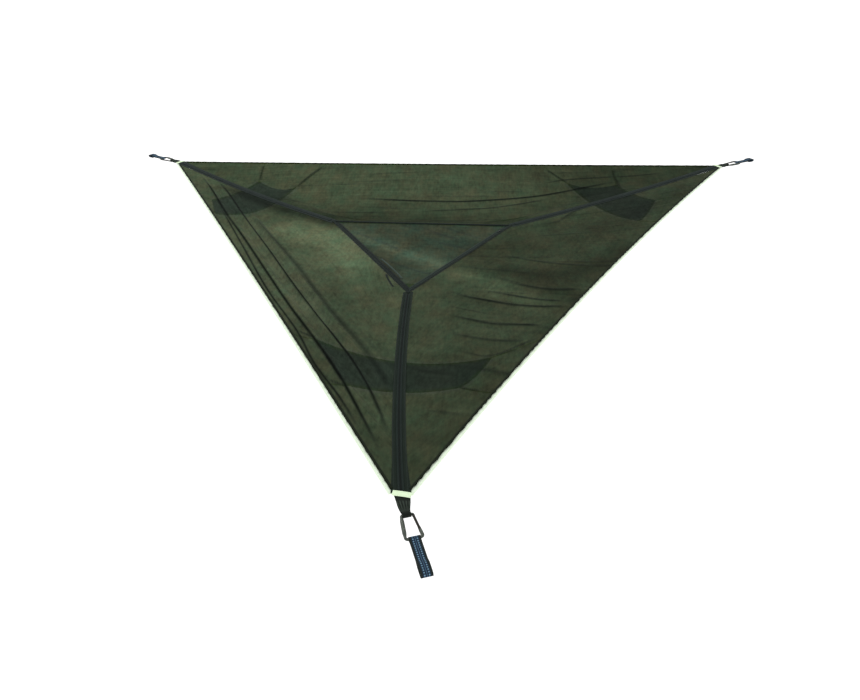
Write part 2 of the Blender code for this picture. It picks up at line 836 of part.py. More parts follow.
def wrap_arc(centre_x, radius, start_angle, end_angle, steps):
    """Points round a bar, as (x, z) pairs. Angle 0 points along +x."""
    points = []
    for step in range(steps + 1):
        angle = math.radians(lerp(start_angle, end_angle, step / steps))
        points.append((centre_x + radius * math.cos(angle), radius * math.sin(angle)))
    return points


def tab_surface(corner):
    """The corner's gathered tab, doubled over the narrow bar, whose middle is at TAB_LENGTH."""
    radius = ROD_RADIUS + LOOP_GAP + TAB_THICK / 2
    top = [(x, TAB_LEVEL) for x in (-0.006, 0.012, 0.030, 0.048, 0.066)]
    loop = wrap_arc(TAB_LENGTH, radius, 125, -125, 10)
    path = top + loop + [(x, -z) for x, z in reversed(top)]
    root_shift = sideways(corner) * WRAP_SHIFT[corner]

    def surface(share, across):
        x, z = path[round(share * (len(path) - 1))]
        straight = smooth(x / TAB_STRAIGHTENS)
        heading = CORNER_HEADING[corner] + lerp(WRAP_TURN[corner], PULL_TURN[corner], straight)
        side = Vector((-math.sin(heading), math.cos(heading), 0))
        half = lerp(TAB_ROOT_HALF, TAB_WAIST_HALF, max(x / TAB_WAIST_AT, 0.0))
        if x > TAB_WAIST_AT:
            half = TAB_TIP_HALF
        middle = hardware_point(corner, x) + root_shift * (1 - straight)
        return middle + side * (across - 0.5) * 2 * half + UP * z

    return surface, len(path) - 1


def strap_mesh():
    """A short strap with a sewn eye at each end. x = 0 is the broad bar."""
    level = STRAP_LEVEL
    radius = ROD_RADIUS + LOOP_GAP + STRAP_THICK / 2
    near_tail = (0.046, level)
    far_tail = (0.054, level)
    near = [near_tail, (0.030, level), (0.016, level + 0.0006)]
    loop = wrap_arc(0.0, radius, 55, 305, 10)
    back = [(0.016, -level - 0.0006), (0.030, -level), (0.060, -level), (STRAP_EYE_START, -level)]
    eye = [
        (STRAP_EYE_START + 0.010, -0.0045),
        (STRAP_EYE_START + 0.020, -STRAP_EYE_HALF),
        (STRAP_LENGTH - 0.014, -STRAP_EYE_HALF),
        (STRAP_LENGTH - 0.004, -0.0066),
        (STRAP_LENGTH - 0.0008, -0.0030),
    ]
    eye_back = [(x, -z) for x, z in reversed(eye)]
    tail = [(STRAP_EYE_START, level), far_tail]
    path = near + loop + back + eye + eye_back + tail
    return ribbon_mesh("tree_strap", path, [STRAP_HALF] * len(path))


def build_hardware(builder):
    """Tab, carabiner, gate, pin, spring and strap at each corner."""
    body = carabiner_body_mesh()
    gate = gate_mesh()
    spring = spring_mesh()
    strap = strap_mesh()
    pin_point = Vector((PIN_AT, carabiner_half_width(PIN_AT), 0))
    for corner in CORNERS:
        turn = hardware_heading(corner)
        surface, steps = tab_surface(corner)
        name = "corner_tab_" + corner
        builder.cloth(name, grid_mesh(name, surface, steps, 2), "tab", TAB_THICK)
        at_bar = hardware_point(corner, TAB_LENGTH)
        pivot = builder.empty("carabiner_pivot_" + corner, at_bar, builder.root, turn)
        builder.add("carabiner_body_" + corner, body, "metal", pivot, 40)
        gate_pivot = builder.empty("gate_pivot_" + corner, pin_point, pivot, carabiner_taper())
        builder.add("carabiner_gate_" + corner, gate, "metal", gate_pivot, 40)
        builder.add("gate_spring_" + corner, spring, "metal", gate_pivot, 40)
        pin = cylinder(PIN_RADIUS, -PIN_HALF_LENGTH, PIN_HALF_LENGTH, 12)
        mesh = finished_mesh(pin, "gate_pin_" + corner)
        builder.add("gate_pin_" + corner, mesh, "metal", gate_pivot, 40)
        broad = Vector((CARABINER_LENGTH, 0, 0))
        strap_pivot = builder.empty("strap_pivot_" + corner, broad, pivot)
        builder.cloth("tree_strap_" + corner, strap, "strap", STRAP_THICK, strap_pivot)


def zip_frame(share):
    """The zip's middle on the hatch's right side, from its far corner, with its two directions."""
    inset = HATCH_EDGE_GAP + ZIP_TAPE_WIDTH + ZIP_CHAIN_GAP / 2
    start = inset_corner("b", inset)
    end = inset_corner("c", inset)
    along = (end - start).normalized()
    return lerp(start, end, share), along


def build_zip_slider(builder):
    """A slider that grips the frame's tape from above and runs under both tapes, and its pull."""
    at, along = zip_frame(SLIDER_SHARE)
    turn = math.atan2(along.y, along.x)
    pivot = builder.empty("zip_pivot", at, builder.root, turn)
    clear = PANEL_THICK / 2 + SLIDER_GAP
    top = clear + SLIDER_PLATE
    web_half = ZIP_CHAIN_GAP / 2 - SLIDER_GAP
    half = SLIDER_LENGTH / 2
    slider = block((-half, -SLIDER_REACH, -top), (half, SLIDER_REACH, -clear))
    upper = block((-half, -web_half, clear), (half, SLIDER_REACH, top))
    combine(slider, upper, "UNION")
    web_top = top - SLIDER_PLATE / 3
    web = block((-half, -web_half, -web_top), (half, web_half, web_top))
    combine(slider, web, "UNION")
    hinge = Vector((half - 2 * LUG_HALF, SLIDER_REACH / 2, top + PULL_RISE))
    pull_half = PULL_WIDTH / 2
    for side in (-1, 1):
        inner = hinge.y + side * (pull_half + LUG_GAP)
        outer = hinge.y + side * (pull_half + LUG_GAP + LUG_THICK)
        low = (hinge.x - LUG_HALF, min(inner, outer), web_top)
        high = (hinge.x + LUG_HALF, max(inner, outer), hinge.z + LUG_HALF)
        combine(slider, block(low, high), "UNION")
    reach = pull_half + LUG_GAP + LUG_THICK / 2
    bar = placed(cylinder(PULL_BAR_RADIUS, -reach, reach, 10, "Y"), hinge)
    combine(slider, bar, "UNION")
    builder.add("zip_slider", finished_mesh(slider, "zip_slider"), "metal", pivot)
    pull_pivot = builder.empty("zip_pull_pivot", hinge, pivot)
    pull = cylinder(PULL_KNUCKLE_RADIUS, -pull_half, pull_half, 14, "Y")
    plate_half = 0.92 * pull_half
    thick_half = PULL_THICK / 2
    plate = block((0.0, -plate_half, -thick_half), (PULL_LENGTH, plate_half, thick_half))
    combine(pull, plate, "UNION")
    combine(pull, cylinder(PULL_BAR_RADIUS + LUG_GAP, -PULL_WIDTH, PULL_WIDTH, 10, "Y"), "DIFFERENCE")
    hole = cylinder(PULL_HOLE_RADIUS, -PULL_WIDTH, PULL_WIDTH, 10)
    combine(pull, placed(hole, Vector((PULL_LENGTH - PULL_HOLE_AT, 0, 0))), "DIFFERENCE")
    builder.add("zip_pull", finished_mesh(pull, "zip_pull"), "metal", pull_pivot)


def sling_corner(corner, number):
    inwards, side = SLING_CORNERS[corner][number]
    z = SLING_Z_OUTER if number < 2 else SLING_Z_INNER
    return plan_point(corner, inwards, side, z)


def edge_at_distance(corner, other, distance):
    """A point under the edge tape, a distance from a corner towards another."""
    share = (distance - MESH_END) / (SIDE - 2 * MESH_END)
    under = -(PANEL_THICK / 2 + 2 * LAYER_GAP + EDGE_TAPE_THICK + LINE_RADIUS + LINE_GAP)
    if (corner, other) in EDGES:
        return edge_point(corner, other, share, 0.004, under)
    return edge_point(other, corner, 1 - share, 0.004, under)


def build_slings(builder):
    """A mesh trapezoid under each corner, with four lines up to the edge tapes."""
    for corner in CORNERS:
        corners = [sling_corner(corner, number) for number in range(4)]

        def sling(across, inwards, corner=corner, corners=corners):
            outer = lerp(corners[0], corners[1], across)
            inner = lerp(corners[2], corners[3], across)
            point = lerp(outer, inner, inwards)
            sag = lerp(SLING_SAG_OUTER[corner], SLING_SAG_INNER[corner], inwards ** 1.5)
            point.z -= sag * arch(across) + SLING_SIDE_SAG[corner] * arch(inwards)
            return point

        name = "gear_sling_" + corner
        builder.cloth(name, grid_mesh(name, sling, 10, 5), "mesh", PANEL_THICK)
        negative = [other for other in CORNERS if other != corner and side_facing(corner, other) < 0][0]
        positive = [other for other in CORNERS if other != corner and side_facing(corner, other) > 0][0]
        for number in range(4):
            other = positive if number % 2 else negative
            end = edge_at_distance(corner, other, SLING_LINE_ENDS[corner][number])
            start = corners[number]
            away = (end - start).normalized()
            start = start + away * (LINE_RADIUS + PANEL_THICK + LINE_GAP)
            points = []
            for step in range(LINE_POINTS):
                share = step / (LINE_POINTS - 1)
                points.append(lerp(start, end, share) - UP * LINE_SAG * arch(share))
            name = f"sling_line_{corner}{number + 1}"
            line = tube_object(name, points, LINE_RADIUS, None, 2)
            builder.add(name, finished_mesh(line, name), "band", None, 40)


def main():
    clear_scene()
    builder = Builder()
    build_panels(builder)
    build_bands(builder)
    build_edge_tapes(builder)
    build_hatch_frame(builder)
    build_hatch(builder)
    build_tie(builder)
    build_hardware(builder)
    build_zip_slider(builder)
    build_slings(builder)


main()
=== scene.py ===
"""The looks of a three-point mesh hammock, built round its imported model.

Lengths are metres. The sheet is laid out in a plan whose origin is the middle of the triangle,
with z = 0 at its three corners; PLAN_ORIGIN moves it so that the world's origin is the middle
of the near strap's far eye.
"""

import math

import bmesh
import bpy
import numpy as np
from mathutils import Matrix, Vector
from mathutils.bvhtree import BVHTree


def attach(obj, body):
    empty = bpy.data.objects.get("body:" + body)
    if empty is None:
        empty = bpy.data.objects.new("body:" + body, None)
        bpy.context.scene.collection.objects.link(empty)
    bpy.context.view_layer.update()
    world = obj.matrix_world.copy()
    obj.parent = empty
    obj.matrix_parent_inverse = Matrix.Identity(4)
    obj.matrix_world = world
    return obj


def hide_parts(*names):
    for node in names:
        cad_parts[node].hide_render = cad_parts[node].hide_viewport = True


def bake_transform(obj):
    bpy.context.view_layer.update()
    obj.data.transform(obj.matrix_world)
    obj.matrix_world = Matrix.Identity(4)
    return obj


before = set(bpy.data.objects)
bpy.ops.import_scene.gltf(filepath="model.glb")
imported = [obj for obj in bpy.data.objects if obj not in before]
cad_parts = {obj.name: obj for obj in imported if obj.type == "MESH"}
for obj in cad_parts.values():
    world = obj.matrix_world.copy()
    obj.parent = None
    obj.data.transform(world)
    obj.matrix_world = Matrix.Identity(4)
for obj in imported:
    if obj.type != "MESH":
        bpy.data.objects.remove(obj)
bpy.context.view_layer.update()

# Plan of the sheet
SIDE = 4.0
CORNERS = ("a", "b", "c")
CORNER_HEADING = {"a": math.radians(150), "b": math.radians(30), "c": math.radians(-90)}
HATCH_CORNER = {"a": (-0.663, 0.272), "b": (0.454, 0.238), "c": (-0.111, -0.669)}
HATCH_DROP = 0.103
HATCH_SAG = 0.014
EDGES = (("a", "b"), ("b", "c"), ("c", "a"))
EDGE_BOW = {"ab": 0.010, "bc": 0.071, "ca": 0.014}
EDGE_SAG = {"ab": 0.001, "bc": 0.018, "ca": 0.012}
BAND_BOW = {"a": 0.0, "b": 0.0, "c": -0.024}
BAND_SAG = {"a": 0.026, "b": 0.018, "c": 0.020}
MESH_END = 0.042
MESH_END_HALF = 0.031
SEAM_HALF_GAP = 0.001

# Cloth and webbing
PANEL_THICK = 0.0012
BAND_WIDTH = 0.052
BAND_THICK = 0.0014
LOAD_TAPE_WIDTH = 0.022
LOAD_TAPE_THICK = 0.0014
EDGE_TAPE_IN = 0.008
EDGE_TAPE_OUT = 0.016
EDGE_TAPE_THICK = 0.0016
EDGE_TAPE_PAST_MESH = 0.010
LAYER_GAP = 0.0010
RIM_ROUNDING = 0.3
LOOP_GAP = 0.0007
HEM_WIDTH = 0.009
HEM_PAST_EDGE = 0.0010
HEM_THICK = 0.0012
HEM_RISE = 0.0016
HEM_CROWN = 0.0008
HEM_SHORT_OF_END = 0.002
HEM_GATHERS = 67
HEM_GATHER_WAVES = 7
HEM_GATHER_SHIFT = 0.8
HEM_GATHER_DEPTH = 0.0020

# Folds of the panels: the far one is slack behind the hatch, the left one pleats along its edge
BASIN_DEPTH = 0.066
BASIN_PEAK = 0.27
BASIN_SIDE = 0.17
BASIN_FROM_BAND = 0.036
BASIN_SLANT = 0.5
BASIN_RISE_POWER = 1.3
HATCH_FAR_SIDE = 1.12
PLEATS_AT = (0.665, 0.765, 0.860)
PLEAT_HALF_WIDTH = 0.040
PLEAT_HEIGHT = 0.013
FAN_HEIGHT = 0.006
FAN_FOLDS = 4
FOLDS_EASE = 0.12

# Creases: (height, half width, painted shade, which below 0 is a painted highlight) and the plan points
# that each one passes through
CREASES = {
    "left": (
        ((0.004, 0.012, 1.00), ((-1.78, 0.98), (-1.568, 0.611), (-1.325, 0.166), (-1.119, -0.185),
                                (-0.869, -0.628), (-0.673, -0.975), (-0.482, -1.296), (-0.318, -1.587),
                                (-0.167, -1.898), (-0.080, -2.100))),
        ((0.005, 0.013, 1.00), ((-1.66, 0.95), (-1.457, 0.618), (-1.215, 0.172), (-0.949, -0.293),
                                (-0.724, -0.701), (-0.538, -1.021), (-0.392, -1.256), (-0.268, -1.474),
                                (-0.126, -1.802), (-0.071, -1.979))),
        ((0.006, 0.030, 0.55), ((-1.200, 0.260), (-1.016, -0.036), (-0.756, -0.444), (-0.498, -0.914),
                                (-0.282, -1.263), (-0.170, -1.480), (-0.090, -1.640))),
        ((0.003, 0.010, 0.90), ((-1.480, 0.430), (-1.214, -0.072), (-1.060, -0.366), (-0.815, -0.835),
                                (-0.579, -1.227), (-0.440, -1.507), (-0.290, -1.747), (-0.150, -2.010))),
        ((0.002, 0.011, 0.70), ((-0.356, -1.627), (-0.321, -1.635), (-0.281, -1.653))),
        ((0.002, 0.011, 0.70), ((-0.564, -1.235), (-0.520, -1.256), (-0.471, -1.301))),
    ),
    "right": (
        ((0.005, 0.020, 0.80), ((0.073, -0.637), (0.183, -0.728), (0.313, -0.802), (0.438, -0.872),
                                (0.577, -0.927), (0.691, -0.942))),
        ((0.004, 0.017, 0.70), ((0.275, -0.653), (0.411, -0.746), (0.565, -0.843), (0.685, -0.888))),
        ((0.005, 0.020, 0.70), ((0.100, -0.930), (0.168, -0.986), (0.309, -1.063), (0.427, -1.095),
                                (0.572, -1.129))),
        ((0.004, 0.020, 0.50), ((0.120, -1.120), (0.190, -1.184), (0.335, -1.245), (0.486, -1.273))),
        ((0.004, 0.016, 0.60), ((0.130, -1.300), (0.202, -1.342), (0.285, -1.385), (0.372, -1.368),
                                (0.438, -1.333))),
        ((0.005, 0.026, 0.60), ((0.300, -0.480), (0.415, -0.585), (0.549, -0.696), (0.671, -0.751),
                                (0.793, -0.766))),
        ((0.004, 0.020, 0.45), ((0.380, -0.200), (0.496, -0.266), (0.698, -0.386), (0.892, -0.475))),
        ((0.003, 0.014, 0.35), ((0.050, -1.780), (0.108, -1.799), (0.204, -1.835))),
        ((0.004, 0.022, 0.50), ((0.597, 0.233), (0.778, 0.302), (0.905, 0.472), (1.223, 0.723))),
        ((0.002, 0.011, 0.70), ((0.278, -1.670), (0.230, -1.652), (0.183, -1.631))),
        ((0.002, 0.011, 0.60), ((0.544, -1.233), (0.431, -1.311), (0.317, -1.401))),
    ),
    "far": (
        ((0.004, 0.017, 0.90), ((-0.641, 0.748), (-0.296, 0.716), (-0.042, 0.705), (0.209, 0.709),
                                (0.631, 0.767), (0.951, 0.865), (1.300, 0.990))),
        ((0.004, 0.014, 0.55), ((-0.160, 0.581), (0.129, 0.601), (0.408, 0.640), (0.800, 0.760))),
        ((0.003, 0.012, 0.60), ((0.700, 0.930), (0.873, 0.973), (1.064, 1.000), (1.378, 1.030),
                                (1.600, 1.060))),
        ((0.003, 0.012, -0.60), ((-0.112, 0.489), (0.211, 0.521), (0.471, 0.380))),
        ((0.003, 0.012, -0.40), ((-1.585, 1.084), (-1.356, 1.069), (-1.053, 1.048))),
        ((0.002, 0.012, 0.70), ((-1.340, 1.126), (-1.336, 1.045), (-1.327, 0.929))),
        ((0.003, 0.016, 0.80), ((-0.888, 1.113), (-0.970, 1.002), (-1.042, 0.874))),
        ((0.002, 0.013, 0.80), ((1.231, 1.116), (1.224, 1.033), (1.238, 0.968), (1.249, 0.856))),
        ((0.002, 0.012, 0.80), ((0.738, 1.109), (0.809, 1.028), (0.894, 0.933))),
    ),
}

# Painted light and shade of each panel: its lightness at the plan's middle, change a metre along x
# and along y, and then stretches of painted light or painted shade as (change, half width, plan points)
LIGHTNESS = {
    "left": (0.84, 0.0, 0.14, (
        (0.54, 0.15, ((-1.04, 0.10), (-0.80, 0.06), (-0.64, 0.00), (-0.53, -0.22), (-0.48, -0.44))),
        (-0.22, 0.34, ((-2.10, 1.25), (-1.30, 0.36), (-0.95, 0.38))),
        (-0.52, 0.080, ((-1.50, 0.76), (-1.12, 0.50), (-0.92, 0.40), (-0.78, 0.315), (-0.62, 0.21))),
        (-0.12, 0.08, ((-0.66, -1.10), (-0.50, -1.40), (-0.32, -1.70), (-0.10, -2.10))),
        (0.16, 0.07, ((-0.90, -0.50), (-0.76, -0.80), (-0.64, -0.94), (-0.54, -1.06))),
        (-0.16, 0.07, ((-0.56, -0.36), (-0.50, -0.62), (-0.40, -1.00), (-0.34, -1.10))),
        (0.12, 0.08, ((-0.30, -1.66), (-0.20, -1.78), (-0.12, -1.90))),
    )),
    "right": (0.50, 0.0, 0.0, (
        (0.10, 0.07, ((0.14, -0.46), (0.30, -0.60), (0.34, -0.76))),
        (0.10, 0.07, ((0.26, -1.14), (0.40, -1.20))),
        (0.10, 0.08, ((0.00, -1.78), (0.10, -1.84))),
        (0.24, 0.10, ((-0.10, -0.40), (0.10, -0.46), (0.26, -0.51), (0.37, -0.64), (0.46, -0.76),
                      (0.56, -0.84))),
        (0.11, 0.12, ((-0.12, -0.60), (0.00, -0.80), (0.02, -1.05), (0.00, -1.35))),
        (-0.24, 0.14, ((0.34, -0.40), (0.50, -0.51), (0.72, -0.54), (0.98, -0.42), (1.20, -0.20))),
        (-0.22, 0.10, ((0.56, -0.74), (0.70, -0.82), (0.82, -0.98))),
        (-0.12, 0.16, ((0.16, -0.10), (0.38, -0.10), (0.62, -0.06))),
        (-0.16, 0.16, ((0.90, 0.02), (1.30, 0.36), (1.75, 0.80))),
        (-0.07, 0.22, ((0.10, -1.36), (0.30, -1.50), (0.30, -1.80), (0.10, -2.05))),
    )),
    "far": (0.66, -0.07, 0.0, (
        (-0.20, 0.45, ((0.90, 0.95), (1.95, 0.90))),
        (-0.30, 0.15, ((-1.20, 0.66), (-0.85, 0.46), (-0.40, 0.48), (0.10, 0.48))),
        (-0.13, 0.13, ((0.05, 0.46), (0.35, 0.46), (0.60, 0.50), (1.05, 0.70))),
        (0.12, 0.07, ((-0.24, 0.55), (0.00, 0.55), (0.22, 0.55))),
        (0.10, 0.10, ((-0.52, 1.03), (-0.10, 1.03), (0.22, 1.03))),
        (-0.28, 0.085, ((-0.80, 0.36), (-0.50, 0.34), (0.00, 0.33), (0.30, 0.32), (0.62, 0.32))),
        (0.09, 0.12, ((-0.05, 0.78), (0.25, 0.80), (0.62, 0.80))),
        (-0.18, 0.24, ((-2.10, 1.15), (-1.40, 0.96))),
    )),
    "hatch": (0.66, 0.0, -0.12, (
        (0.42, 0.070, ((-0.62, 0.20), (-0.45, 0.03), (-0.27, -0.08), (-0.02, -0.28), (0.12, -0.40))),
        (-0.14, 0.10, ((-0.56, 0.02), (-0.40, -0.22), (-0.24, -0.44))),
        (-0.10, 0.10, ((-0.20, 0.05), (0.10, -0.02), (0.20, -0.20))),
    )),
}

# Share of a crease's length over which it fades in, and out, and its core of painted shade and its
# shoulders of painted highlight
CREASE_START = {"left": 0.12, "right": 0.42, "far": 0.18}
CREASE_END = 0.16
CREASE_CORE = 0.62
CREASE_SHOULDER_AT = 1.5
CREASE_SHOULDER = 0.6
CREASE_SHOULDER_HIGHLIGHT = 0.25

# Share at each end of a stretch of painted light or shade over which it fades, and the limits of the
# painted lightness
LIGHTNESS_FADE = 0.1
LIGHTNESS_LIMITS = (0.15, 1.8)

# Fine streaks of each panel, slight wrinkles with painted shade or painted highlight along them: how many,
# their strength, and the heading that they keep to in degrees at two places along the plan's y
STREAKS_Y = (-0.9, 1.0)
STREAKS = {
    "left": (70, 0.20, -60.0, -56.0),
    "right": (150, 0.30, -24.0, 24.0),
    "far": (120, 0.22, -2.0, 2.0),
    "hatch": (40, 0.20, -38.0, -34.0),
}

# One streak: the ranges of its half length, half width and share of the strength, its painted shade or
# painted highlight, how far its heading strays in degrees, how much it bends and how fast it fades
STREAK_HALF_LENGTH = (0.12, 0.45)
STREAK_HALF_WIDTH = (0.006, 0.016)
STREAK_SHARE = (0.3, 1.0)
STREAK_TONES = (-0.8, 1.0)
STREAK_STRAYS = 3
STREAK_BEND = 0.03
STREAK_FADE = 1.6

# Shares of a panel, from its two ends, and from its hatch side and its edge, over which creases
# and streaks rise to their full height
CREASES_RISE_ALONG = 0.06
CREASES_RISE_OUT = (0.10, 0.03)
STREAKS_RISE_ALONG = 0.04
STREAKS_RISE_OUT = (0.05, 0.03)

# Hatch, seen from its edge inwards: frame, zip, hinge, handle and tie
FRAME_TAPE_WIDTH = 0.014
ZIP_TAPE_WIDTH = 0.009
ZIP_CHAIN_GAP = 0.0036
ZIP_BEAD_RADIUS = 0.0014
ZIP_BEAD_STEP = 0.0012
ZIP_NECK = 0.62
HATCH_EDGE_GAP = 0.001
FRAME_OVERLAP = 0.005
HINGE_GAP = 0.006
HINGE_LAP = 0.016
HINGE_RISE = 0.0006
# Painted shade and painted lightness of the strip where the flap bends
HINGE_PAINTED_SHADE = 0.5
HINGE_PAINTED_LEVEL = 0.6
HATCH_TIP_CUT = 0.012
HANDLE_INSET = 0.010
HANDLE_REACH = (0.10, 0.385)
HANDLE_WIDTH = 0.010
HANDLE_THICK = 0.0018
HANDLE_RISE = 0.0035
HANDLE_ARCH = 0.0058
TIE_FROM_CORNER = 0.238
TIE_OFF_FRAME = 0.003
TIE_RUN = 0.154
TIE_SPREAD = 0.028
TIE_BULGE = 0.004
TIE_WIDTH = 0.010
TIE_THICK = 0.0012

# Corner hardware, along the pull of the strap
WRAP_WIDTH = 0.024
WRAP_LENGTH = 0.066
WRAP_RISE = 0.0034
WRAP_CROWN = 0.001
WRAP_AT = 0.0245
WRAP_SHIFT = {"a": 0.0, "b": 0.0, "c": 0.00475}
WRAP_TURN = {"a": 0.0, "b": 0.0, "c": math.radians(-8.5)}
HARDWARE_AT = 0.021
PULL_TURN = {"a": 0.0, "b": 0.0, "c": math.radians(18.5)}
TAB_LENGTH = 0.090
TAB_STOPS = (-0.006, 0.012, 0.030, 0.048, 0.066)
TAB_STRAIGHTENS = 0.070
TAB_LEVEL = 0.0015
TAB_THICK = 0.0014
TAB_ROOT_HALF = 0.029
TAB_WAIST_AT = 0.066
TAB_WAIST_HALF = 0.0170
TAB_TIP_HALF = 0.0137
TAB_TIP_EASE = 0.016
TAB_PLEATS = 4.5
TAB_PLEATS_PHASE = 0.7
TAB_PLEATS_EASE = 0.03
TAB_PLEATS_END = 0.012
TAB_PLEAT_HEIGHT = 0.0042
TAB_GATHER_FROM = 0.02
# Painted shade on the tab: how far it reaches from the root, under the cross webbing, and back from the end
# round the bar, and how it eases
TAB_SHADE_ROOT = 0.034
TAB_SHADE_TIP = 0.018
TAB_SHADE_EASE = 0.012
CARABINER_LENGTH = 0.100
ROD_RADIUS = 0.00475
SPINE_SWELL = 0.45
SPINE_EASE = 0.25
NOSE_SWELL = 0.20
NARROW_HALF = 0.0190
BROAD_HALF = 0.0280
NARROW_BEND = 0.0050
BROAD_BEND = 0.0080
PIN_AT = 0.009
NOSE_AT = 0.071
NOSE_GAP = 0.0006
GATE_RADIUS = 0.0043
GATE_END_RADIUS = 0.0041
LATCH_RADIUS = 0.0050
LATCH_LENGTH = 0.009
TONGUE_HALF_THICK = 0.0020
TONGUE_RADIUS = 0.0042
SLOT_HALF_THICK = 0.0023
SLOT_DEPTH = 0.0052
SHOULDER_RADIUS = 0.0049
PIN_RADIUS = 0.00135
PIN_HOLE_RADIUS = 0.0017
PIN_HALF_LENGTH = 0.0041
SPRING_RADIUS = 0.0016
SPRING_WIRE = 0.00030
SPRING_TURNS = 5
SPRING_END_GAPS = (0.001, 0.0008)
BORE_RADIUS = 0.0021
BORE_END = 0.024
STRAP_HALF = 0.0190
STRAP_THICK = 0.0016
STRAP_LEVEL = 0.0013
STRAP_LAP_AT = 0.050
STRAP_EYE_START = 0.085
STRAP_LENGTH = 0.150
STRAP_EYE_HALF = 0.0085
STRAP_LAP_GAP = 0.0004
STRAP_STITCHED_TO = 0.060

# Where the strap opens out round the bar, as (x, how far above its level), and the run of its eye
# on one side as (x from the eye's start or end, z)
STRAP_OPENS = ((0.030, 0.0), (0.016, 0.0006))
STRAP_EYE_OPENS = ((0.010, -0.0045), (0.020, -STRAP_EYE_HALF))
STRAP_EYE_ENDS = ((-0.014, -STRAP_EYE_HALF), (-0.004, -0.0066), (-0.0008, -0.0030))

# Details of the gate and its pin
GATE_END_HALF = 0.0034
GATE_GROOVES_BACK = (0.0030, 0.0062)
GATE_GROOVE_HALF = 0.0005
GATE_GROOVE_DEPTH = 0.0004
LATCH_SHORT_OF_END = 0.0004
PIN_HEAD_ROUNDING = 0.0005
CUT_CLEAR = 0.01

# How finely the curves of the corner hardware are drawn
ARC_STEPS = 12
SPINE_STEPS = 16
SPRING_STEPS = 16
LOOP_STEPS = 24
PATH_STEP = 0.004

# Gear slings: (distance in from the corner, sideways) of each sling's corners, outer pair first
SLING_CORNERS = {
    "a": ((0.66, -0.17), (0.655, 0.28), (0.91, -0.295), (0.79, 0.38)),
    "b": ((0.72, -0.15), (0.755, 0.215), (1.00, -0.32), (0.98, 0.50)),
    "c": ((0.743, -0.30), (0.745, 0.18), (1.16, -0.51), (1.037, 0.32)),
}
SLING_LINE_ENDS = {
    "a": (0.652, 0.74, 1.12, 0.98),
    "b": (0.58, 0.77, 1.18, 1.268),
    "c": (0.770, 0.700, 1.210, 1.210),
}
SLING_Z_OUTER = -0.080
SLING_Z_INNER = -0.115
SLING_SAG_OUTER = {"a": 0.020, "b": 0.018, "c": 0.032}
SLING_SAG_INNER = {"a": 0.085, "b": 0.056, "c": 0.080}
SLING_SIDE_SAG = {"a": 0.040, "b": 0.030, "c": 0.020}
SLING_SAG_POWER = 1.5
SLING_RIPPLE = 0.004
SLING_RIPPLES = (3, 1.2)
# Painted shade and painted highlight that follow a sling's ripples
SLING_RIPPLE_PAINTED_SHADE = 0.3
SLING_LEVEL = 0.8
SLING_HEMS = (("outer", 0.0, 0.045), ("inner", 0.955, 1.0))
SLING_HEM_THICK = 0.0010
SLING_HEM_RISE = 0.0012
# Painted shade of a sling seen through the net above it: its strength, and how many times it is blurred
SLING_SHADE_PAINT = 0.85
SLING_SHADE_PAINT_BLUR = 2
LINE_RADIUS = 0.0013
LINE_GAP = 0.0008
LINE_POINTS = 15
LINE_SAG = 0.004
LINE_END_OUT = 0.004

# The height of the panels' fine wrinkles
STREAK_LIFT = 0.006

# Doubled patch under the hatch's lowest corner, and the ends of the bands
GUSSET_SHARE = 0.115
GUSSET_DROP = 0.0035
BAND_TUCK = 0.0012
BAND_TUCK_EASE = 0.4
BAND_TUCK_END = 0.003
BAND_PAST_MESH = 0.009
BAND_CLEAR_OF_FRAME = 0.012
BAND_UNDER_FRAME = 0.25
BAND_OVER_SEAM = 0.003

# How much painted highlight a light fold gets, and how much painted shade a dark one gets
FOLD_PAINTED_HIGHLIGHT = 0.80
FOLD_PAINTED_SHADE = 0.86

# Weave and stitches
WEAVE_PITCH = 0.0016
RIB_PITCH = 0.0018
SELVEDGE_FROM = 0.44
STITCH_HALF_WIDTH = 0.0006
STITCH_PITCH = 0.0042
STITCH_SHARE = 0.7
LOAD_SEAM_HALF = 0.0032
STRAP_FIELD_HALF = 0.0125
STRAP_DASH_ROWS = (-0.0072, 0.0072)
STRAP_DASH_HALF = 0.0019
STRAP_DASH_PITCH = 0.0085
STRAP_LINE_HALF = 0.0008
STRAP_LINE_PITCH = 0.0050

# Camera: its place in the plan, and where it looks
CAMERA_AT = (0.210, -3.966, 1.639)
CAMERA_YAW = math.radians(-3.65)
CAMERA_DOWN = math.radians(32.52)
CAMERA_ROLL = math.radians(-0.71)
CAMERA_LENS = 29.495
SENSOR_WIDTH = 36.0

# Studio: floor, sky, and each lamp's name, place, size and power
FLOOR_AT = (0, 2, -2.20)
FLOOR_HALF = 60.0
SKY_STRENGTH = 0.95
LAMPS = (("key", (-3.5, 5.5, 4.5), 3.0, 70.0), ("fill", (3.5, -2.0, 4.0), 4.0, 30.0))
LAMPS_FACE = (0, 2.3, 0)

UP = np.array((0.0, 0.0, 1.0))
DOWN = Vector((0, 0, -1))


def point(x, y, z=0.0):
    """A place or a direction, as an array."""
    return np.array((x, y, z), float)


def lerp(start, end, share):
    """Between two numbers or two points; share may be an array."""
    share = np.asarray(share, float)
    if np.ndim(start) or np.ndim(end):
        share = share[..., None]
    return start + (end - start) * share


def up(height):
    """A vector straight up, or an array of them."""
    return UP * np.asarray(height, float)[..., None]


def unit(vector):
    """The direction of a vector, one long."""
    return vector / np.linalg.norm(vector)


def arch(share):
    """0 at both ends, 1 in the middle."""
    return 4 * share * (1 - share)


def smooth(share):
    """Eases from 0 to 1, flat at both ends and level outside them."""
    share = np.clip(share, 0.0, 1.0)
    return share * share * (3 - 2 * share)


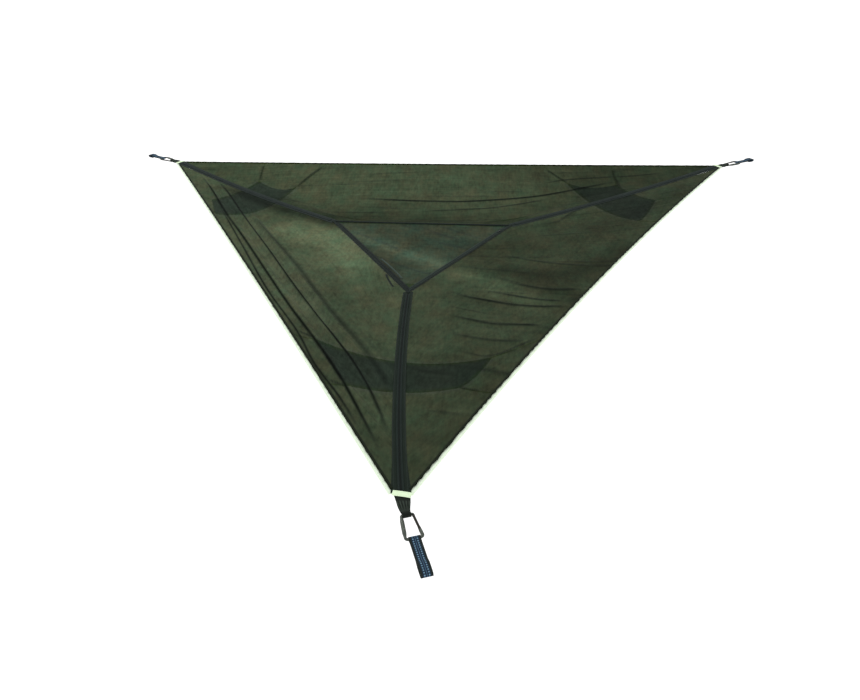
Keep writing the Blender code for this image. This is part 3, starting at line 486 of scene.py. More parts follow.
def eased_ends(share, start, end=None):
    """0 at both ends of a share, rising to 1 over the given lengths."""
    return smooth(share / start) * smooth((1 - share) / (end or start))


def bell(away, half):
    """1 at no distance, falling off round a half width."""
    return np.exp(-((away / half) ** 2))


def level_direction(heading):
    """The level direction at a heading, one long."""
    return point(math.cos(heading), math.sin(heading))


def outward(corner):
    """From the plan's middle towards a corner."""
    return level_direction(CORNER_HEADING[corner])


def sideways(corner):
    """To the left of a corner, seen looking outwards."""
    return np.cross(UP, outward(corner))


def plan_point(corner, inwards, side=0.0, z=0.0):
    """A point given by its distance in from a corner and its distance to one side."""
    apex = outward(corner) * SIDE / math.sqrt(3)
    return apex - outward(corner) * inwards + sideways(corner) * side + UP * z


def side_facing(corner, other):
    """+1 or -1: which side of a corner the edge towards another corner is on."""
    return 1.0 if np.dot(outward(other) - outward(corner), sideways(corner)) > 0 else -1.0


def edge_point(first, second, share, out=0.0, z=0.0):
    """Points on the mesh's edge, moved outwards and up by the last two lengths."""
    start = plan_point(first, MESH_END, MESH_END_HALF * side_facing(first, second))
    end = plan_point(second, MESH_END, MESH_END_HALF * side_facing(second, first))
    outwards = unit((start + end) * point(1, 1, 0))
    name = first + second
    bow = np.asarray(out - EDGE_BOW[name] * arch(share))[..., None]
    return lerp(start, end, share) + outwards * bow + up(z - EDGE_SAG[name] * arch(share))


def hatch_point(corner):
    """A corner of the hatch's opening."""
    return point(*HATCH_CORNER[corner], -HATCH_DROP)


def band_point(corner, share, side=0.0):
    """Points on a radial band's middle line, from the hatch's corner out to the mesh's end."""
    start = hatch_point(corner)
    end = plan_point(corner, MESH_END)
    across = unit(np.cross(UP, end - start) * point(1, 1, 0))
    aside = np.asarray(BAND_BOW[corner] * arch(share) + side)[..., None]
    return lerp(start, end, share) + across * aside - up(BAND_SAG[corner] * arch(share))


def panel_side(corner, other, share):
    """The side of a panel along a band: close to its middle line, then opening to the mesh's end."""
    side = lerp(SEAM_HALF_GAP, MESH_END_HALF, share ** 3) * side_facing(corner, other)
    return band_point(corner, share, side)


def panel_folds(name, along, out):
    """How far a panel lies above its plain surface, from hatch (out = 0) to edge (out = 1)."""
    if name == "ab":
        across = lerp(HATCH_FAR_SIDE, SIDE, out) * BASIN_SLANT
        sides = 1.0
        for share in (along, 1 - along):
            sides = sides * smooth((share * across - BASIN_FROM_BAND) / BASIN_SIDE)
        falling = smooth(out / BASIN_PEAK)
        rising = 1 - np.clip((out - BASIN_PEAK) / (1 - BASIN_PEAK), 0, 1) ** BASIN_RISE_POWER
        return -BASIN_DEPTH * sides * np.where(out < BASIN_PEAK, falling, rising)
    ends = eased_ends(along, FOLDS_EASE)
    if name == "ca":
        height = 0.0
        for middle in PLEATS_AT:
            height = height + smooth(1 - abs(out - middle) / PLEAT_HALF_WIDTH)
        return PLEAT_HEIGHT * ends * height
    return FAN_HEIGHT * ends * arch(out) * np.sin(2 * math.pi * FAN_FOLDS * along)


def panel_surface(first, second):
    """A panel as a patch between four lines: hatch side, outer edge and two bands."""
    name = first + second

    def surface(along, out):
        inner = lerp(panel_side(first, second, 0.0), panel_side(second, first, 0.0), along)
        outer = edge_point(first, second, along)
        left = panel_side(first, second, out)
        right = panel_side(second, first, out)
        ruled = lerp(inner, outer, out) + lerp(left, right, along)
        left_ends = lerp(panel_side(first, second, 0.0), edge_point(first, second, 0.0), out)
        right_ends = lerp(panel_side(second, first, 0.0), edge_point(first, second, 1.0), out)
        return ruled - lerp(left_ends, right_ends, along) + up(panel_folds(name, along, out))

    return surface


def distance_to_route(places, route):
    """Level distance of each place from a line through the route's points, and its share along."""
    best = np.full(len(places), np.inf)
    share = np.zeros(len(places))
    legs = len(route) - 1
    for leg in range(legs):
        start = np.array(route[leg])
        run = np.array(route[leg + 1]) - start
        along = np.clip((places[:, :2] - start) @ run / (run @ run), 0, 1)
        away = np.linalg.norm(places[:, :2] - start - along[:, None] * run, axis=1)
        nearer = away < best
        best = np.where(nearer, away, best)
        share = np.where(nearer, (leg + along) / legs, share)
    return best, share


def curved(route, steps=8):
    """A smooth line through the route's points."""
    points = [np.array(p, float) for p in route]
    padded = [2 * points[0] - points[1], *points, 2 * points[-1] - points[-2]]
    line = []
    for before, start, end, after in zip(padded, padded[1:], padded[2:], padded[3:]):
        for step in range(steps):
            t = step / steps
            line.append(
                0.5 * (2 * start + (end - before) * t + (2 * before - 5 * start + 4 * end - after) * t ** 2
                       + (3 * start - before - 3 * end + after) * t ** 3)
            )
    return [*line, points[-1]]


def hardware_heading(corner):
    """The heading that a corner's strap pulls along."""
    return CORNER_HEADING[corner] + PULL_TURN[corner]


def hardware_point(corner, along):
    """Points on the line that the strap pulls along, from the corner's tab outwards."""
    pull = level_direction(hardware_heading(corner))
    return plan_point(corner, HARDWARE_AT) + pull * np.asarray(along, float)[..., None]


EYE_MIDDLE = (STRAP_EYE_START + STRAP_LENGTH) / 2
PLAN_ORIGIN = -hardware_point("c", TAB_LENGTH + CARABINER_LENGTH + EYE_MIDDLE)


class Paint:
    """One Principled material, built up by small node helpers."""

    def __init__(self, name, roughness, metallic=0.0, gloss=0.5):
        self.material = bpy.data.materials.new(name)
        self.material.use_nodes = True
        self.tree = self.material.node_tree
        self.shader = self.tree.nodes["Principled BSDF"]
        self.shader.inputs["Roughness"].default_value = roughness
        self.shader.inputs["Metallic"].default_value = metallic
        self.shader.inputs["Specular IOR Level"].default_value = gloss

    def node(self, kind, inputs=(), **settings):
        """A new node with some settings, and values or links for some inputs."""
        made = self.tree.nodes.new("ShaderNode" + kind)
        for key, value in settings.items():
            setattr(made, key, value)
        for key, value in dict(inputs).items():
            self.put(made.inputs[key], value)
        return made

    def put(self, socket, value):
        """Links a socket to another one, or gives it a plain value."""
        if isinstance(value, bpy.types.NodeSocket):
            self.tree.links.new(value, socket)
        else:
            socket.default_value = value

    def set(self, key, value):
        """Sets or links one of the material's own inputs."""
        self.put(self.shader.inputs[key], value)

    def math(self, operation, first, second=0.0, third=0.0):
        """The result of a sum on values or sockets."""
        made = self.node("Math", operation=operation)
        for socket, value in zip(made.inputs, (first, second, third)):
            self.put(socket, value)
        return made.outputs[0]

    def times(self, first, second):
        """Two values or sockets multiplied."""
        return self.math("MULTIPLY", first, second)

    def times_add(self, first, second, third):
        """The first times the second, plus the third."""
        return self.math("MULTIPLY_ADD", first, second, third)

    def vary(self, base, value, strength, middle=0.5):
        """base plus a strength times how far value is from its middle."""
        return self.times_add(self.math("SUBTRACT", value, middle), strength, base)

    def mix(self, factor, first, second, blend="MIX"):
        """Two colours mixed by a factor."""
        made = self.node("Mix", data_type="RGBA", blend_type=blend)
        self.put(made.inputs[0], factor)
        for socket, value in ((made.inputs[6], first), (made.inputs[7], second)):
            self.put(socket, (*value, 1.0) if isinstance(value, tuple) else value)
        return made.outputs[2]

    def shaded(self, colour, value):
        """A colour with each channel times a value."""
        grey = self.node("CombineColor", {0: value, 1: value, 2: value}).outputs[0]
        return self.mix(1.0, colour, grey, "MULTIPLY")

    def span(self, value, low, high):
        """0 to 1 while value goes from low to high."""
        return self.node("MapRange", {"Value": value, "From Min": low, "From Max": high}).outputs[0]

    def attribute(self, name):
        """A value painted on the object's points."""
        return self.node("Attribute", attribute_name=name).outputs["Fac"]

    def place(self):
        """Where a point is on the object, in metres."""
        return self.node("TexCoord").outputs["Object"]

    def cloth_place(self):
        """Metres along and across the cloth."""
        parts = self.node("SeparateXYZ")
        self.put(parts.inputs[0], self.node("UVMap", uv_map="cloth").outputs[0])
        return parts.outputs[0], parts.outputs[1]

    def noise(self, scale, detail=3.0, stretch=(1.0, 1.0, 1.0), where=None, roughness=0.55):
        """Cloudy noise about 0.5, at a scale and stretched along the axes."""
        mapping = self.node("Mapping", {"Vector": where or self.place(), "Scale": stretch})
        inputs = {"Vector": mapping.outputs[0], "Scale": scale, "Detail": detail, "Roughness": roughness}
        return self.node("TexNoise", inputs).outputs["Fac"]

    def ribs(self, coordinate, pitch):
        """0 to 1 and back once each pitch."""
        turned = self.math("SINE", self.times(coordinate, 2 * math.pi / pitch))
        return self.times_add(turned, 0.5, 0.5)

    def band_mask(self, coordinate, middle, half):
        """1 within half of middle, else 0."""
        away = self.math("ABSOLUTE", self.math("SUBTRACT", coordinate, middle))
        return self.math("LESS_THAN", away, half)

    def dashes(self, along, pitch, share):
        """1 on the first share of each pitch, else 0."""
        return self.math("LESS_THAN", self.math("FRACT", self.math("DIVIDE", along, pitch)), share)

    def dashed_row(self, along, across, row, half, pitch, share):
        """1 on the dashes of one row along the cloth, else 0."""
        return self.times(self.band_mask(across, row, half), self.dashes(along, pitch, share))

    def bump(self, height, distance, strength):
        """Makes a height stand out in the light."""
        made = self.node("Bump", {"Height": height, "Distance": distance, "Strength": strength})
        self.set("Normal", made.outputs[0])


def tinted(colour, *factors):
    """A colour with each channel times its factor."""
    return tuple(channel * factor for channel, factor in zip(colour, factors))


def net_material(name, colour, open_share, sling_shade_colour=None):
    """Fine see-through mesh: weave, blotches, painted shade in its folds with painted highlight beside
    them, and painted shade where a sling lies behind it.
    """
    paint = Paint(name, 0.9, gloss=0.04)
    along, across = paint.cloth_place()
    weave = paint.times(paint.ribs(along, WEAVE_PITCH), paint.ribs(across, WEAVE_PITCH))
    flat_place = paint.node("CombineXYZ", {"X": along, "Y": across}).outputs[0]
    # Streaks along the cloth, blotches, fine threads, specks and the weave, each with its strength
    spread = (
        (paint.noise(1.0, 4.0, (1.6, 55.0, 1.0), flat_place), 0.55, 0.5),
        (paint.noise(7.0, 5.0, roughness=0.70), 1.10, 0.5),
        (paint.noise(1.0, 4.0, (75.0, 16.0, 16.0), roughness=0.65), 1.00, 0.5),
        (paint.noise(34.0, 3.0), 0.60, 0.5),
        (weave, 0.20, 0.25),
    )
    tone = 1.0
    for value, strength, middle in spread:
        tone = paint.vary(tone, value, strength, middle)
    # level: painted light and shade over broad stretches of the net
    tone = paint.times(tone, paint.attribute("level"))
    # Painted shade in the folds and painted highlight beside them; a dark fold is also less see-through
    fold = paint.attribute("fold")
    dark = paint.math("MAXIMUM", fold, 0.0)
    light = paint.math("MAXIMUM", paint.times(fold, -1.0), 0.0)
    lit = paint.times(tone, paint.times_add(light, FOLD_PAINTED_HIGHLIGHT, 1.0))
    shown = paint.times(lit, paint.times_add(dark, -FOLD_PAINTED_SHADE, 1.0))
    hue = paint.span(paint.noise(7.5, 5.0, (1.0, 0.7, 1.0), roughness=0.7), 0.36, 0.64)
    olive = paint.mix(hue, tinted(colour, 1.36, 0.97, 0.6), tinted(colour, 0.68, 1.08, 0.9))
    plain = paint.mix(dark, olive, tinted(colour, 0.80, 0.90, 1.6))
    # Painted shade of the slings seen through the net
    if sling_shade_colour:
        plain = paint.mix(paint.times(paint.attribute("backed"), SLING_SHADE_PAINT), plain, sling_shade_colour)
    paint.set("Base Color", paint.shaded(plain, shown))
    hole = paint.times(paint.times(lit, open_share), paint.math("SUBTRACT", 1.0, dark))
    paint.set("Alpha", paint.math("SUBTRACT", 1.0, hole))
    paint.bump(weave, 0.0003, 0.5)
    return paint.material


def webbing_paint(name, colour, width, stitch=None, stitch_rows=(), variation=0.35, seam=0.0):
    """Woven tape: ribs, thicker selvedges, soiling, rows of stitches, and a dark middle seam."""
    paint = Paint(name, 0.85, gloss=0.12)
    along, across = paint.cloth_place()
    ribs = paint.ribs(along, RIB_PITCH)
    twill = paint.ribs(paint.math("ADD", along, across), RIB_PITCH * 1.6)
    selvedge = paint.math("GREATER_THAN", paint.math("ABSOLUTE", across), SELVEDGE_FROM * width)
    height = paint.times_add(ribs, 0.5, paint.times(twill, 0.5))
    height = paint.times_add(selvedge, 0.4, height)
    tone = paint.times_add(height, 0.22, 0.84)
    tone = paint.vary(tone, paint.noise(9.0, 4.0), variation)
    tone = paint.vary(tone, paint.noise(160.0, 2.0), 0.25)
    result = paint.shaded(colour, tone)
    if seam:
        result = paint.mix(paint.band_mask(across, 0.0, seam), result, tinted(colour, 0.4, 0.4, 0.4))
    for row in stitch_rows:
        mask = paint.dashed_row(along, across, row, STITCH_HALF_WIDTH, STITCH_PITCH, STITCH_SHARE)
        result = paint.mix(mask, result, stitch)
        height = paint.times_add(mask, 0.8, height)
    paint.set("Base Color", result)
    paint.bump(height, 0.0004, 0.8)
    return paint, result, (along, across)


def strap_material():
    """Black webbing with two rows of light blue dashes either side of a thin blue line."""
    paint, result, place = webbing_paint("strap_webbing", (0.015, 0.021, 0.019), 2 * STRAP_HALF)
    field = paint.band_mask(place[1], 0.0, STRAP_FIELD_HALF)
    result = paint.mix(paint.times(field, 0.9), result, (0.012, 0.025, 0.046))
    for row in STRAP_DASH_ROWS:
        dashes = paint.dashed_row(*place, row, STRAP_DASH_HALF, STRAP_DASH_PITCH, 0.52)
        result = paint.mix(dashes, result, (0.15, 0.27, 0.37))
    line = paint.dashed_row(*place, 0.0, STRAP_LINE_HALF, STRAP_LINE_PITCH, 0.70)
    paint.set("Base Color", paint.mix(line, result, (0.08, 0.17, 0.28)))
    return paint.material


def tab_material():
    """Gathered cloth: ribs, and painted shade in the valleys between the pleats, at the end round the bar
    and at the root under the cross webbing.
    """
    paint, result, _ = webbing_paint("tab", (0.033, 0.045, 0.035), 0.05, variation=0.9)
    # Painted shade from the tab's fold values
    depth = paint.times_add(paint.attribute("fold"), -0.85, 1.15)
    paint.set("Base Color", paint.shaded(result, depth))
    return paint.material


def steel_material(name, colour, roughness):
    """Satin metal with fine scratches, smudges and brighter worn spots."""
    paint = Paint(name, roughness, metallic=1.0)
    scratches = paint.noise(60.0, 4.0, (1.0, 1.0, 14.0))
    smudges = paint.noise(70.0, 3.0)
    speckle = paint.noise(900.0, 2.0)
    tone = paint.vary(paint.vary(1.0, smudges, 0.7), scratches, 0.5)
    worn = paint.span(paint.noise(130.0, 4.0), 0.60, 0.68)
    bright = tinted(colour, 2.2, 2.2, 2.2)
    paint.set("Base Color", paint.mix(worn, paint.shaded(colour, tone), bright))
    paint.set("Roughness", paint.vary(paint.vary(roughness, scratches, 0.35), smudges, 0.2))
    paint.bump(paint.math("ADD", scratches, paint.times(speckle, 0.4)), 0.00008, 0.6)
    return paint.material


def make_materials():
    """Every material by its name."""
    made = {
        # The mesh's last colour is the painted shade of a sling seen through it
        "mesh": net_material("mesh", (0.0290, 0.0520, 0.0110), 0.036, (0.033, 0.048, 0.038)),
        "hatch_mesh": net_material("hatch_mesh", (0.029, 0.049, 0.029), 0.020),
        "sling_mesh": net_material("sling_mesh", (0.016, 0.023, 0.022), 0.010),
        "steel": steel_material("steel", (0.075, 0.085, 0.073), 0.42),
        "dark_steel": steel_material("dark_steel", (0.030, 0.027, 0.022), 0.45),
        "zip_metal": steel_material("zip_metal", (0.05, 0.05, 0.05), 0.40),
        "strap": strap_material(),
        "tab": tab_material(),
    }
    edge_width = EDGE_TAPE_IN + EDGE_TAPE_OUT
    edge_rows = (-0.0065, 0.0065)
    # Colour, width, colour of the stitches, rows of stitches, and how much the tone varies
    tapes = {
        "edge_tape": ((0.88, 1.0, 0.81), edge_width, (0.78, 0.93, 0.71), edge_rows, 0.06),
        "wrap_tape": ((0.80, 0.97, 0.68), WRAP_WIDTH, (0.68, 0.84, 0.60), edge_rows, 0.10),
        "band": ((0.009, 0.016, 0.011), BAND_WIDTH, (0.030, 0.040, 0.036), (-0.023, 0.023), 0.6),
        # The far bands and load tapes are lighter copies of the near ones: painted light
        "far_band_painted_light": ((0.017, 0.025, 0.022), BAND_WIDTH, (0.035, 0.048, 0.044), (-0.023, 0.023), 0.6),
        "load_tape": ((0.009, 0.016, 0.013), LOAD_TAPE_WIDTH, (0.022, 0.033, 0.030), (-0.008, 0.008), 0.6),
        "far_load_painted_light": ((0.014, 0.021, 0.019), LOAD_TAPE_WIDTH, (0.022, 0.033, 0.030), (-0.008, 0.008), 0.6),
        "frame_tape": ((0.009, 0.015, 0.012), FRAME_TAPE_WIDTH, (0.02, 0.03, 0.027), (-0.005, 0.005), 0.5),
        "hem": ((0.006, 0.010, 0.004), HEM_WIDTH, (0.02, 0.028, 0.014), (0.0,), 0.6),
        "zip": ((0.012, 0.017, 0.015), ZIP_TAPE_WIDTH, (0.03, 0.04, 0.04), (0.0,), 0.4),
        "zip_pale": ((0.022, 0.034, 0.028), ZIP_TAPE_WIDTH, (0.04, 0.055, 0.05), (0.0,), 0.6),
        "zip_chain": ((0.014, 0.020, 0.017), 0.002, (0.03, 0.03, 0.03), (), 0.4),
        "handle": ((0.036, 0.054, 0.044), HANDLE_WIDTH, (0.08, 0.11, 0.09), (-0.0035, 0.0035), 0.6),
        "line": ((0.008, 0.012, 0.011), 0.003, (0.03, 0.03, 0.03), (), 0.4),
    }
    for name, (colour, width, stitch, rows, variation) in tapes.items():
        seam = LOAD_SEAM_HALF if name == "load_tape" else 0.0
        made[name] = webbing_paint(name, colour, width, stitch, rows, variation, seam)[0].material
    return made


MATERIALS = make_materials()


def linked(name, data):
    """A new object for the data, in the scene."""
    made = bpy.data.objects.new(name, data)
    bpy.context.scene.collection.objects.link(made)
    return made


def finish_piece(made, material, body, nodes):
    """Gives a piece its material, body and the nodes that it stands for."""
    if not made.data.materials:
        made.data.materials.append(MATERIALS[material])
    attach(made, body)
    if nodes:
        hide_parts(*nodes)
    return made


def shares(columns, rows):
    """The two shares of each point of a grid, row by row."""
    along, across = np.meshgrid(np.linspace(0, 1, columns + 1), np.linspace(0, 1, rows + 1))
    return along.ravel(), across.ravel()


def grid_faces(columns, rows):
    """The quads of a grid whose points run row by row."""
    width = columns + 1
    first = (np.arange(rows)[:, None] * width + np.arange(columns)).ravel()
    return np.stack([first, first + 1, first + width + 1, first + width], 1)


def surface_tree(surface, columns, rows):
    """A search tree over a grid on surface(along, across)."""
    points = surface(*shares(columns, rows))
    return BVHTree.FromPolygons(points.tolist(), grid_faces(columns, rows).tolist())


def grid_object(name, points, columns, rows, **painted):
    """A quad grid with a UV map in metres along and across the cloth, and any painted values."""
    mesh = bpy.data.meshes.new(name)
    width = columns + 1
    faces = grid_faces(columns, rows)
    mesh.from_pydata((points + PLAN_ORIGIN).tolist(), [], faces.tolist())
    grid = points.reshape(rows + 1, width, 3)
    along_steps = np.linalg.norm(np.diff(grid, axis=1), axis=2)
    along = np.concatenate([np.zeros((rows + 1, 1)), np.cumsum(along_steps, axis=1)], axis=1)
    along -= along[:, width // 2][:, None]
    across_steps = np.linalg.norm(np.diff(grid, axis=0), axis=2)
    across = np.concatenate([np.zeros((1, width)), np.cumsum(across_steps, axis=0)], axis=0)
    across -= across[-1] / 2
    cloth = np.stack([along, across], 2).reshape(-1, 2)
    layer = mesh.uv_layers.new(name="cloth")
    layer.uv.foreach_set("vector", cloth[faces.ravel()].astype(np.float32).ravel())
    for key, values in painted.items():
        stored = mesh.attributes.new(key, "FLOAT", "POINT")
        stored.data.foreach_set("value", values.astype(np.float32))
    mesh.shade_smooth()
    return linked(name, mesh)


def thicken(made, thickness):
    """Cloth or webbing with its thickness and softened rims."""
    solid = made.modifiers.new("thickness", "SOLIDIFY")
    solid.thickness = thickness
    solid.offset = 0.0
    solid.use_even_offset = True
    edge = made.modifiers.new("rims", "BEVEL")
    edge.width = thickness * RIM_ROUNDING
    edge.segments = 2
    edge.limit_method = "ANGLE"
    edge.angle_limit = math.radians(60)
    return made


def part_of(surface, low, high, rise):
    """The part of a surface between two shares across it, raised."""

    def part(along, across):
        return surface(along, lerp(low, high, across)) + up(rise)

    return part


def tape(name, surface, columns, rows, thickness, material, body, nodes=()):
    """A strip of webbing over surface(along, across)."""
    made = grid_object(name, surface(*shares(columns, rows)), columns, rows)
    thicken(made, thickness)
    return finish_piece(made, material, body, nodes)


class Sheet:
    """The panels' plain surfaces, which the tapes and bands lie on."""

    def __init__(self):
        self.trees = [surface_tree(panel_surface(*edge), 60, 40) for edge in EDGES]

    def height(self, place):
        """Height of the mesh at a place of the plan, or at its nearest edge."""
        start = Vector((place[0], place[1], 1.0))
        heights = [hit.z for hit in (tree.ray_cast(start, DOWN)[0] for tree in self.trees) if hit]
        if heights:
            return max(heights)
        flat = Vector((place[0], place[1], -HATCH_DROP / 2))
        near = [tree.find_nearest(flat) for tree in self.trees]
        return min(near, key=lambda found: found[3])[0].z

    def heights(self, places):
        """The heights at many places, as an array."""
        return np.array([self.height(place) for place in places])


SHEET = Sheet()

# Each panel's edge, how many columns and rows its grid has, and the node that it stands for
PANELS = {
    "far": ("ab", 220, 260, "mesh_panel_far"),
    "right": ("bc", 720, 110, "mesh_panel_right"),
    "left": ("ca", 180, 360, "mesh_panel_left"),
}


def crease_panel(key, points, along, out):
    """Adds a panel's sharp creases. Returns each point's painted shade (or, below 0, painted highlight)."""
    fold = np.zeros(len(points))
    lift = np.zeros(len(points))
    held = eased_ends(along, CREASES_RISE_ALONG) * eased_ends(out, *CREASES_RISE_OUT)
    for (height, half, darkness), route in CREASES[key]:
        away, share = distance_to_route(points, curved(route))
        fade = eased_ends(share, CREASE_START[key], CREASE_END)
        core = darkness * bell(away, CREASE_CORE * half) * fade
        if darkness < 0:
            fold += core
        else:
            shoulder = bell(away - CREASE_SHOULDER_AT * half, CREASE_SHOULDER * half)
            fold = np.maximum(fold, core) - CREASE_SHOULDER_HIGHLIGHT * darkness * shoulder * fade
        lift += height * bell(away, half) * fade
    return points + up(lift * held), fold


def streak_tones(key, points):
    """Thin straight streaks of painted shade or painted highlight that keep to the panel's heading."""
    count, strength, low_heading, high_heading = STREAKS[key]
    random = np.random.default_rng(sum(ord(letter) for letter in key))
    low, high = points.min(axis=0), points.max(axis=0)
    tones = np.zeros(len(points))
    for _ in range(count):
        x, y = random.uniform(low[:2], high[:2])
        towards = smooth((y - STREAKS_Y[0]) / (STREAKS_Y[1] - STREAKS_Y[0]))
        strays = random.normal(0, STREAK_STRAYS)
        heading = math.radians(lerp(low_heading, high_heading, towards) + strays)
        half_length = random.uniform(*STREAK_HALF_LENGTH)
        half_width = random.uniform(*STREAK_HALF_WIDTH)
        tone = random.choice(STREAK_TONES) * strength * random.uniform(*STREAK_SHARE)
        run = (points[:, 0] - x) * math.cos(heading) + (points[:, 1] - y) * math.sin(heading)
        aside = (points[:, 1] - y) * math.cos(heading) - (points[:, 0] - x) * math.sin(heading)
        aside += STREAK_BEND * (run / half_length) ** 2 * half_length
        fade = smooth(STREAK_FADE * (1 - abs(run) / half_length))
        tones += tone * bell(aside, half_width) * fade
    return tones


def lightness(key, points):
    """Painted light and shade at each point of a panel, from broad stretches."""
    middle, by_x, by_y, stretches = LIGHTNESS[key]
    level = middle + by_x * points[:, 0] + by_y * points[:, 1]
    for change, half, route in stretches:
        away, share = distance_to_route(points, curved(route))
        fade = smooth((share + LIGHTNESS_FADE) / (2 * LIGHTNESS_FADE))
        fade *= smooth((1 + LIGHTNESS_FADE - share) / (2 * LIGHTNESS_FADE))
        level += change * bell(away, half) * fade
    return np.clip(level, *LIGHTNESS_LIMITS)


def sling_corners(corner):
    """The two outer and then the two inner corners of a sling."""
    heights = (SLING_Z_OUTER, SLING_Z_OUTER, SLING_Z_INNER, SLING_Z_INNER)
    return [plan_point(corner, *place, z) for place, z in zip(SLING_CORNERS[corner], heights)]


def sling_surface(corner):
    """The sagging surface between a sling's four corners."""
    corners = sling_corners(corner)

    def surface(across, inwards):
        outer = lerp(corners[0], corners[1], across)
        inner = lerp(corners[2], corners[3], across)
        sag = lerp(SLING_SAG_OUTER[corner], SLING_SAG_INNER[corner], inwards ** SLING_SAG_POWER)
        return lerp(outer, inner, inwards) - up(sag * arch(across) + SLING_SIDE_SAG[corner] * arch(inwards))

    return surface


def backed_by_slings(points, columns, rows):
    """Painted shade: 1 where a sling lies behind the net along the camera's line of sight, easing to 0 at
    its outline.
    """
    slings = [surface_tree(sling_surface(corner), 24, 12) for corner in CORNERS]
    eye = Vector(CAMERA_AT)
    backed = np.zeros(len(points))
    for number, place in enumerate(points.tolist()):
        sight = Vector(place) - eye
        if any(sling.ray_cast(place, sight)[0] for sling in slings):
            backed[number] = 1.0
    backed = backed.reshape(rows + 1, columns + 1)
    for _ in range(SLING_SHADE_PAINT_BLUR):
        backed = np.pad(backed, 1, mode="edge")
        backed = (backed[:-2] + backed[1:-1] + backed[2:]) / 3
        backed = (backed[:, :-2] + backed[:, 1:-1] + backed[:, 2:]) / 3
    return backed.ravel()


def build_panels():
    """The three panels of net between the hatch, the bands and the edges."""
    for key, (edge, columns, rows, node) in PANELS.items():
        along, out = shares(columns, rows)
        points = panel_surface(*edge)(along, out)
        # Real creases, with painted shade in them and painted highlight beside them
        points, fold = crease_panel(key, points, along, out)
        tones = streak_tones(key, points)
        held = eased_ends(along, STREAKS_RISE_ALONG) * eased_ends(out, *STREAKS_RISE_OUT)
        points = points + up(STREAK_LIFT * tones * held)
        # The streaks' painted shade and highlight join the creases'
        fold = np.clip(fold + tones, -1, 1)
        # Painted light and shade over broad stretches
        level = lightness(key, points)
        # Painted shade where a sling lies behind the net, seen from the camera
        backed = backed_by_slings(points, columns, rows)
        made = grid_object("cloth_" + key, points, columns, rows, fold=fold, level=level, backed=backed)
        finish_piece(made, "mesh", "hammock", [node])


def band_height(corner, share, side):
    """Height on a band: from its middle line, straight to the mesh under each of its sides."""
    middle = band_point(corner, share)[:, 2]
    half = BAND_WIDTH / 2
    result = middle.copy()
    for sign in (-1, 1):
        edge = SHEET.heights(band_point(corner, share, np.full(len(share), sign * half)))
        here = side * sign > 1e-6
        result = np.where(here, middle + (edge - middle) * abs(side) / half, result)
    return result


def band_strip(corner, width, rise, free, past):
    """The surface of a band, or of the load tape on it. Shares free and past are of its length."""
    wide = width == BAND_WIDTH
    start, end = (BAND_UNDER_FRAME * free, 1.0 + past) if wide else (free, 1.0)

    def strip(share, across):
        along = lerp(start, end, share)
        half = width / 2
        under = 0.0
        if wide:
            half = np.maximum(half, lerp(SEAM_HALF_GAP, MESH_END_HALF, along ** 3) + BAND_OVER_SEAM)
            under = smooth(((1 + BAND_TUCK_EASE) * free - along) / (BAND_TUCK_EASE * free))
            under = under + smooth((along - (1 - BAND_TUCK_END)) / BAND_TUCK_END)
        side = (across - 0.5) * 2 * half
        points = band_point(corner, along, side)
        points[:, 2] = band_height(corner, along, side) + rise - BAND_TUCK * under
        return points

    return strip


def build_bands():
    """The doubled band over each seam, and the load tape along its middle."""
    band_rise = PANEL_THICK / 2 + LAYER_GAP + BAND_THICK / 2
    tape_rise = band_rise + BAND_THICK / 2 + LAYER_GAP + LOAD_TAPE_THICK / 2
    pieces = (
        ("radial_band_", "band_cloth_", BAND_WIDTH, BAND_THICK, band_rise, 8, "band", "far_band_painted_light"),
        ("load_tape_", "load_webbing_", LOAD_TAPE_WIDTH, LOAD_TAPE_THICK, tape_rise, 4, "load_tape",
         "far_load_painted_light"),
    )
    for corner in CORNERS:
        length = np.linalg.norm(plan_point(corner, MESH_END) - hatch_point(corner))
        free = (2 * FRAME_TAPE_WIDTH + BAND_CLEAR_OF_FRAME) / length
        past = BAND_PAST_MESH / length
        for node, stem, width, thickness, rise, rows, near_material, far_material in pieces:
            material = near_material if corner == "c" else far_material
            strip = band_strip(corner, width, rise, free, past)
            tape(stem + corner, strip, 60, rows, thickness, material, "hammock", [node + corner])


def edge_webbing(first, second):
    """The surface of the pale webbing under an edge."""
    drop = PANEL_THICK / 2 + 2 * LAYER_GAP + EDGE_TAPE_THICK / 2
    past = EDGE_TAPE_PAST_MESH / SIDE

    def surface(share, across):
        out = lerp(-EDGE_TAPE_IN, EDGE_TAPE_OUT, across)
        points = edge_point(first, second, lerp(-past, 1 + past, share), out)
        inner = out < 0
        points[inner, 2] = np.minimum(points[inner, 2], SHEET.heights(points[inner]))
        points[:, 2] -= drop
        return points

    return surface


def rolled_hem(first, second):
    """The surface of the dark hem over an edge, gathered where it was sewn."""

    def surface(share, across):
        shift = HEM_GATHER_SHIFT * np.sin(2 * math.pi * HEM_GATHER_WAVES * share)
        puckers = np.sin(2 * math.pi * (HEM_GATHERS * share + shift))
        gather = HEM_GATHER_DEPTH * puckers * np.abs(puckers) * across
        out = lerp(-HEM_WIDTH, HEM_PAST_EDGE, across) + gather
        along = lerp(HEM_SHORT_OF_END, 1 - HEM_SHORT_OF_END, share)
        points = edge_point(first, second, along, out)
        level = np.maximum(points[:, 2], SHEET.heights(points))
        points[:, 2] = level + HEM_RISE + HEM_CROWN * arch(across)
        return points

    return surface


